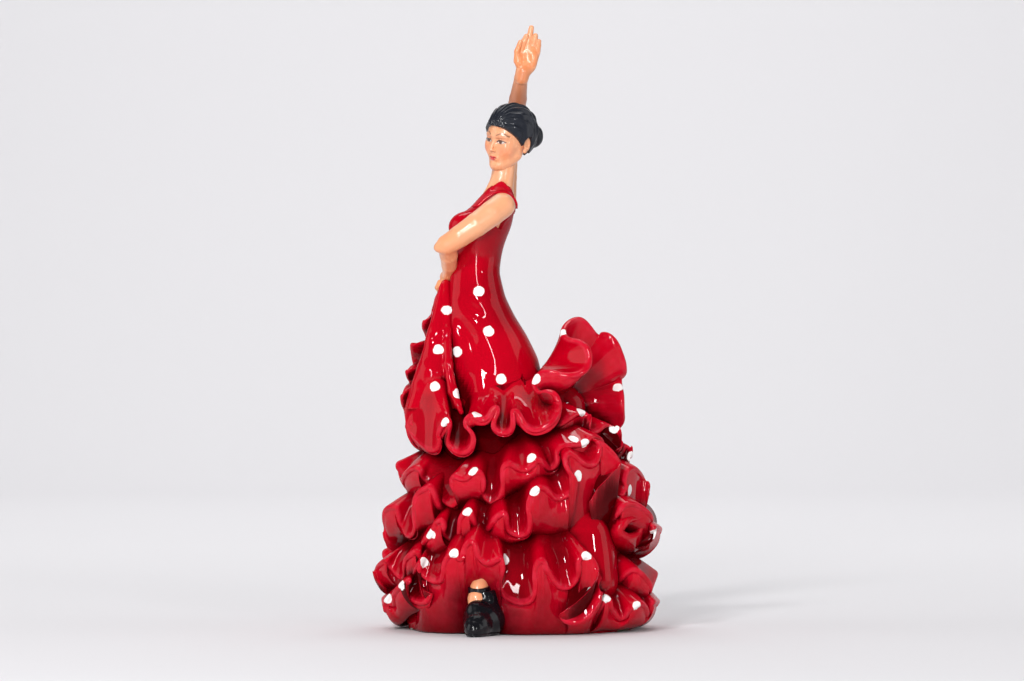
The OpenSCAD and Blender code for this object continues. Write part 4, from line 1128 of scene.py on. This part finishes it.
def front_foot():
    """The ankle, with its bones, and the instep."""
    foot = Clay((-28, -60, -1), (-4, -26, 34), 0.2).place(SHOE, LEAN)
    foot.limb([((-1.6, 8.0, 31), 3.4), ((-1.6, 3.6, 23.5), 3.35), ((-1.7, 1.4, 18.6), 3.3),
               ((-2.0, -0.4, 14.4), 3.6), ((-1.4, -2.6, 9.5), 3.4)], 1.2)
    for x in (1.6, -4.9):
        foot.add(foot.ball((x, 1.6, 18.4), 1.1), 0.8)
    # Painted shade on the leg where it rises under the skirt
    return skin_piece("front_foot", foot, lambda v: 0.35, lambda v: 0.45 * soft_step(v[:, 2], 19, 25))


def dance_shoe():
    shoe = Clay((-28, -60, -1), (-2, -28, 24), 0.17).place(SHOE, LEAN)
    shoe.add(shoe.ball((0.6, 1.0, 6.4), (8.6, 8.6, 7.6)))
    shoe.limb([((0.2, -3.0, 5.6), 6.0), ((-0.6, -8.0, 4.2), 4.9), ((-1.0, -11.6, 2.8), 3.3)], 2.5)
    shoe.limb([((2.4, 2.2, 10.0), 5.2), ((1.0, 1.8, 15.0), 4.6), ((0.0, 1.8, 18.0), 3.8)], 1.6)
    shoe.add(shoe.ball((-1.6, -4.6, 9.6), (4.2, 4.4, 4.6)), 2.0)
    shoe.cut(shoe.cone((-4.8, -2.6, 17.6), (-6.4, -6.0, 13.0), 2.5, 1.6), 0.6)
    shoe.keep(shoe.z - 17.2 - 0.2 * shoe.x)
    shoe.keep(-shoe.z)
    sole = np.maximum(np.maximum(shoe.d - 0.35, shoe.z - 1.1), -shoe.z)
    shoe.add(sole, 0.15)
    return make_mesh("dance_shoe", *shoe.mesh(), {"tone": 0.5})


def ankle_strap():
    """A tilted band round the ankle, with a buckle."""
    strap = Clay((-27, -54, 10), (-4, -32, 28), 0.14).place(SHOE, LEAN)
    y = strap.y - 1.2
    height = strap.z - 18.4 - 0.25 * y
    radius = np.sqrt((strap.x + 1.65) ** 2 + y ** 2)
    strap.d = np.maximum(np.abs(radius - 3.7) - 0.55, np.abs(height) - 1.0) - 0.15
    strap.add(strap.ball((2.3, 0.6, 18.4), (0.6, 0.9, 0.9)), 0.2)
    return make_mesh("ankle_strap", *strap.mesh(), {"tone": 0.5})


for build in (neck_and_chest, bent_arm, raised_arm, raised_hand, head, hair_cap, hair_bun, hair_flower,
              front_foot, dance_shoe, ankle_strap):
    pieces[build.__name__] = build()


# ---------------------------------------------------------------- looks
class Look:
    """A small helper to wire a material."""

    def __init__(self, name):
        self.m = bpy.data.materials.new(name)
        self.m.use_nodes = True
        self.t = self.m.node_tree
        self.b = self.t.nodes["Principled BSDF"]
        self.place = self.t.nodes.new("ShaderNodeTexCoord").outputs["Object"]

    def put(self, x, socket):
        """Links an output to a socket, or sets a number or colour on it."""
        if hasattr(x, "is_output"):
            self.t.links.new(x, socket)
        else:
            socket.default_value = (*x, 1) if isinstance(x, tuple) and socket.type == "RGBA" else x

    def node(self, kind, **values):
        n = self.t.nodes.new(kind)
        for key, value in values.items():
            if key in n.inputs:
                n.inputs[key].default_value = value
            else:
                setattr(n, key, value)
        return n

    def noise(self, scale, detail=4.0, rough=0.55):
        n = self.node("ShaderNodeTexNoise", Scale=scale, Detail=detail, Roughness=rough)
        self.put(self.place, n.inputs["Vector"])
        return n.outputs["Fac"]

    def value(self, name):
        return self.node("ShaderNodeAttribute", attribute_name=name, attribute_type="GEOMETRY").outputs["Fac"]

    def remap(self, source, a, b, c, d):
        """Eases c to d while the source goes from a to b."""
        n = self.node("ShaderNodeMapRange", interpolation_type="SMOOTHSTEP")
        for key, x in (("From Min", a), ("From Max", b), ("To Min", c), ("To Max", d), ("Value", source)):
            self.put(x, n.inputs[key])
        return n.outputs["Result"]

    def math(self, op, a, b):
        n = self.node("ShaderNodeMath", operation=op)
        for i, x in enumerate((a, b)):
            self.put(x, n.inputs[i])
        return n.outputs[0]

    def spread(self, source, amount):
        """Noise centred on zero, times an amount."""
        return self.math("MULTIPLY", self.math("SUBTRACT", source, 0.5), amount)

    def mix(self, factor, a, b):
        n = self.node("ShaderNodeMix", data_type="RGBA")
        for key, kind, x in (("Factor", "VALUE", factor), ("A", "RGBA", a), ("B", "RGBA", b)):
            self.put(x, next(i for i in n.inputs if i.name == key and i.type == kind))
        return next(o for o in n.outputs if o.type == "RGBA")

    def bump(self, height, strength, distance):
        n = self.node("ShaderNodeBump", Strength=strength, Distance=distance)
        self.put(height, n.inputs["Height"])
        self.put(n.outputs["Normal"], self.b.inputs["Normal"])

    def set(self, **values):
        for key, x in values.items():
            self.put(x, self.b.inputs[key.replace("_", " ")])


def red_look():
    """Red lacquer: painted shade darkens the folds, the rims are brighter for wear and painted highlight, and
    white dots are dabbed on.
    """
    k = Look("painted_red")
    cloud = k.noise(90, 3)
    tone = k.math("ADD", k.value("tone"), k.spread(cloud, 0.35))
    # The tone runs from the dark red of painted shade up to the full red
    base = k.mix(k.remap(tone, 0.0, 0.95, 0, 1), (0.06, 0.0, 0.001), (0.47, 0.0, 0.010))
    # The rims are brightened for wear and with painted highlight
    worn = k.math("MULTIPLY", k.value("edge"), k.remap(k.noise(260, 3), 0.35, 0.7, 0.15, 0.6))
    base = k.mix(worn, base, (0.62, 0.016, 0.045))
    # A dot is solid to 2.05 mm from its centre and gone at 2.3 mm, with a hand-painted wobble
    dot = k.remap(k.math("ADD", k.value("dot"), k.spread(k.noise(420, 2), 1.3)), 2.05, 2.3, 1, 0)
    base = k.mix(dot, base, (0.90, 0.88, 0.87))
    k.set(Base_Color=base, Roughness=k.remap(cloud, 0.3, 0.7, 0.20, 0.34), Specular_IOR_Level=0.0,
          Coat_Weight=k.remap(tone, 0.0, 0.45, 0.14, 0.42), Coat_Roughness=0.03, Coat_IOR=1.5)
    grain = k.math("MULTIPLY", k.noise(900, 4, 0.6), 0.25)
    waves = k.math("MULTIPLY", k.noise(110, 1.5), 12.0)
    relief = k.math("ADD", grain, k.math("MULTIPLY", dot, 0.8))
    k.bump(k.math("ADD", relief, waves), 0.35, 0.0002)
    return k.m


def skin_look():
    k = Look("painted_skin")
    paint = k.node("ShaderNodeVertexColor", layer_name="paint").outputs["Color"]
    cloud = k.noise(160, 3)
    base = k.mix(k.remap(cloud, 0.3, 0.75, 0.0, 0.14), paint, (0.50, 0.20, 0.11))
    k.set(Base_Color=base, Roughness=k.remap(cloud, 0.3, 0.7, 0.30, 0.42), Coat_Weight=0.4,
          Coat_Roughness=0.16, Subsurface_Weight=0.08, Subsurface_Scale=0.0015,
          Subsurface_Radius=(1.0, 0.4, 0.25))
    k.bump(k.noise(1300, 4, 0.6), 0.12, 0.0002)
    return k.m


def black_look(name, tint, rough):
    k = Look(name)
    worn = k.remap(k.noise(700, 5, 0.7), 0.62, 0.8, 0.0, 0.25)
    base = k.mix(worn, tint, tuple(3 * t + 0.006 for t in tint))
    k.set(Base_Color=base, Roughness=k.remap(k.noise(220, 3), 0.3, 0.7, rough, rough + 0.14),
          Specular_IOR_Level=0.18, Coat_Weight=0.3, Coat_Roughness=0.05)
    k.bump(k.noise(1500, 4, 0.6), 0.15, 0.0002)
    return k.m


def fibre_look(name, scale, dark, light, grain, bump, rough, **values):
    """Two colours mixed by fine noise, which also raises the surface. rough is a number or a range."""
    k = Look(name)
    fine = k.noise(scale, *grain)
    if isinstance(rough, tuple):
        rough = k.remap(fine, 0.2, 0.8, *rough)
    k.set(Base_Color=k.mix(fine, dark, light), Roughness=rough, **values)
    k.bump(fine, *bump)
    return k.m


felt = fibre_look("felt", 4000, (0.01, 0.05, 0.02), (0.05, 0.17, 0.07), (6, 0.8), (0.8, 0.0004), 0.95,
                  Sheen_Weight=0.4)
board = fibre_look("fibreboard", 1500, (0.30, 0.18, 0.09), (0.50, 0.34, 0.19), (6, 0.8), (0.3, 0.0003), 0.8)
steel = fibre_look("drawn_steel", 3000, (0.42, 0.42, 0.44), (0.62, 0.62, 0.64), (5, 0.7), (0.1, 0.0001),
                   (0.25, 0.45), Metallic=1.0)
SKIN_PIECES = ("neck_and_chest", "bent_arm", "raised_arm", "raised_hand", "head", "front_foot")
red_paint = red_look()
LOOKS = {node: (look, slot) for look, slot, nodes in (
    (skin_look(), "skin", SKIN_PIECES),
    (black_look("painted_hair", (0.010, 0.012, 0.019), 0.30), "hair", ("hair_cap", "hair_bun")),
    (black_look("painted_shoe", (0.004, 0.004, 0.006), 0.16), "shoe_black", ("dance_shoe", "ankle_strap")),
    (red_paint, "flower_red", ("hair_flower",))) for node in nodes}
for node, piece in pieces.items():
    look, slot = LOOKS.get(node, (red_paint, "dress_red"))
    piece.data.materials.append(look)
    piece.name = node + "_piece"
    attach(piece, "root")
    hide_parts(node)
# The pieces out of sight keep the CAD's own shapes
for node, look in (("felt_pad", felt), ("base_board", board), ("waist_dowel", steel), ("neck_dowel", steel),
                   ("arm_dowels", steel)):
    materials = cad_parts[node].data.materials
    materials.clear()
    materials.append(look)

# ---------------------------------------------------------------- studio, in metres
# A floor that curves up into the backdrop: (y, z) along its profile
WALL_Y, CURVE = 2.0, 0.8
profile = [(-2.6, 0.0)]
for turn in np.linspace(0, math.pi / 2, 32):
    profile.append((WALL_Y + CURVE * math.sin(turn), CURVE - CURVE * math.cos(turn)))
profile.append((WALL_Y + CURVE, 3.2))
HALF_WIDTH = 3.2
corners = np.array([(x, y, z) for y, z in profile for x in (-HALF_WIDTH, HALF_WIDTH)]) / MM
strips = np.array([(2 * i, 2 * i + 1, 2 * i + 3, 2 * i + 2) for i in range(len(profile) - 1)])
sweep = make_mesh("studio_floor", corners, strips)


def paper_look():
    """Pale paper, with painted shade that makes it a little darker in front of the figurine, where the lamps
    light it most.
    """
    k = Look("studio_paper")
    split = k.node("ShaderNodeSeparateXYZ")
    k.put(k.place, split.inputs[0])
    far = k.remap(split.outputs["Y"], -0.25, 0.9, 0, 1)
    k.set(Base_Color=k.mix(far, (0.70, 0.69, 0.71), (0.83, 0.82, 0.84)), Roughness=0.9)
    return k.m


sweep.data.materials.append(paper_look())


def turn_to(ob, target):
    ob.rotation_euler = (Vector(target) - ob.location).to_track_quat("-Z", "Y").to_euler()


def softbox(name, at, size, power, target=(0, 0, 0.12)):
    data = bpy.data.lights.new(name, "AREA")
    data.shape, data.size, data.size_y = "RECTANGLE", size[0], size[1]
    data.energy = power
    ob = bpy.data.objects.new(name, data)
    ob.location = at
    turn_to(ob, target)
    bpy.context.scene.collection.objects.link(ob)


softbox("left_softbox", (-1.0, -0.12, 0.40), (0.7, 0.9), 2.6)
softbox("right_softbox", (1.0, -0.12, 0.40), (0.7, 0.9), 2.4)
softbox("top_softbox", (0.0, 0.05, 1.30), (0.9, 0.6), 2.8)
softbox("key", (-0.46, -1.10, 0.80), (0.15, 0.15), 7.0)
softbox("key_low", (0.62, -1.20, 0.42), (0.10, 0.10), 2.6)
softbox("window", (-0.28, -1.42, 0.36), (0.11, 0.7), 11.5)
softbox("back_wash", (0, 1.0, 2.4), (2.6, 0.8), 50, target=(0, 2.6, 0.4))

world = bpy.data.worlds.new("studio")
bpy.context.scene.world = world
world.use_nodes = True
background = world.node_tree.nodes["Background"]
background.inputs["Color"].default_value = (0.93, 0.93, 0.95, 1)
background.inputs["Strength"].default_value = 0.12

# ---------------------------------------------------------------- camera
SENSOR, DISTANCE, CAMERA_X = 36, 1.6, -0.0034
# The picture is 1024 pixels wide, and a pixel covers 0.41 mm at the figurine
PICTURE_WIDTH = 1024 * 0.41 * MM
cam_data = bpy.data.cameras.new("camera")
cam = bpy.data.objects.new("camera", cam_data)
bpy.context.scene.collection.objects.link(cam)
bpy.context.scene.camera = cam
cam.location = (CAMERA_X, -DISTANCE, 0.100)
cam_data.sensor_width = SENSOR
cam_data.lens = SENSOR * DISTANCE / PICTURE_WIDTH
turn_to(cam, (CAMERA_X, 0, 0.1180))
cam_data.clip_start, cam_data.clip_end = 0.05, 20
bpy.context.scene.view_settings.view_transform = "Standard"
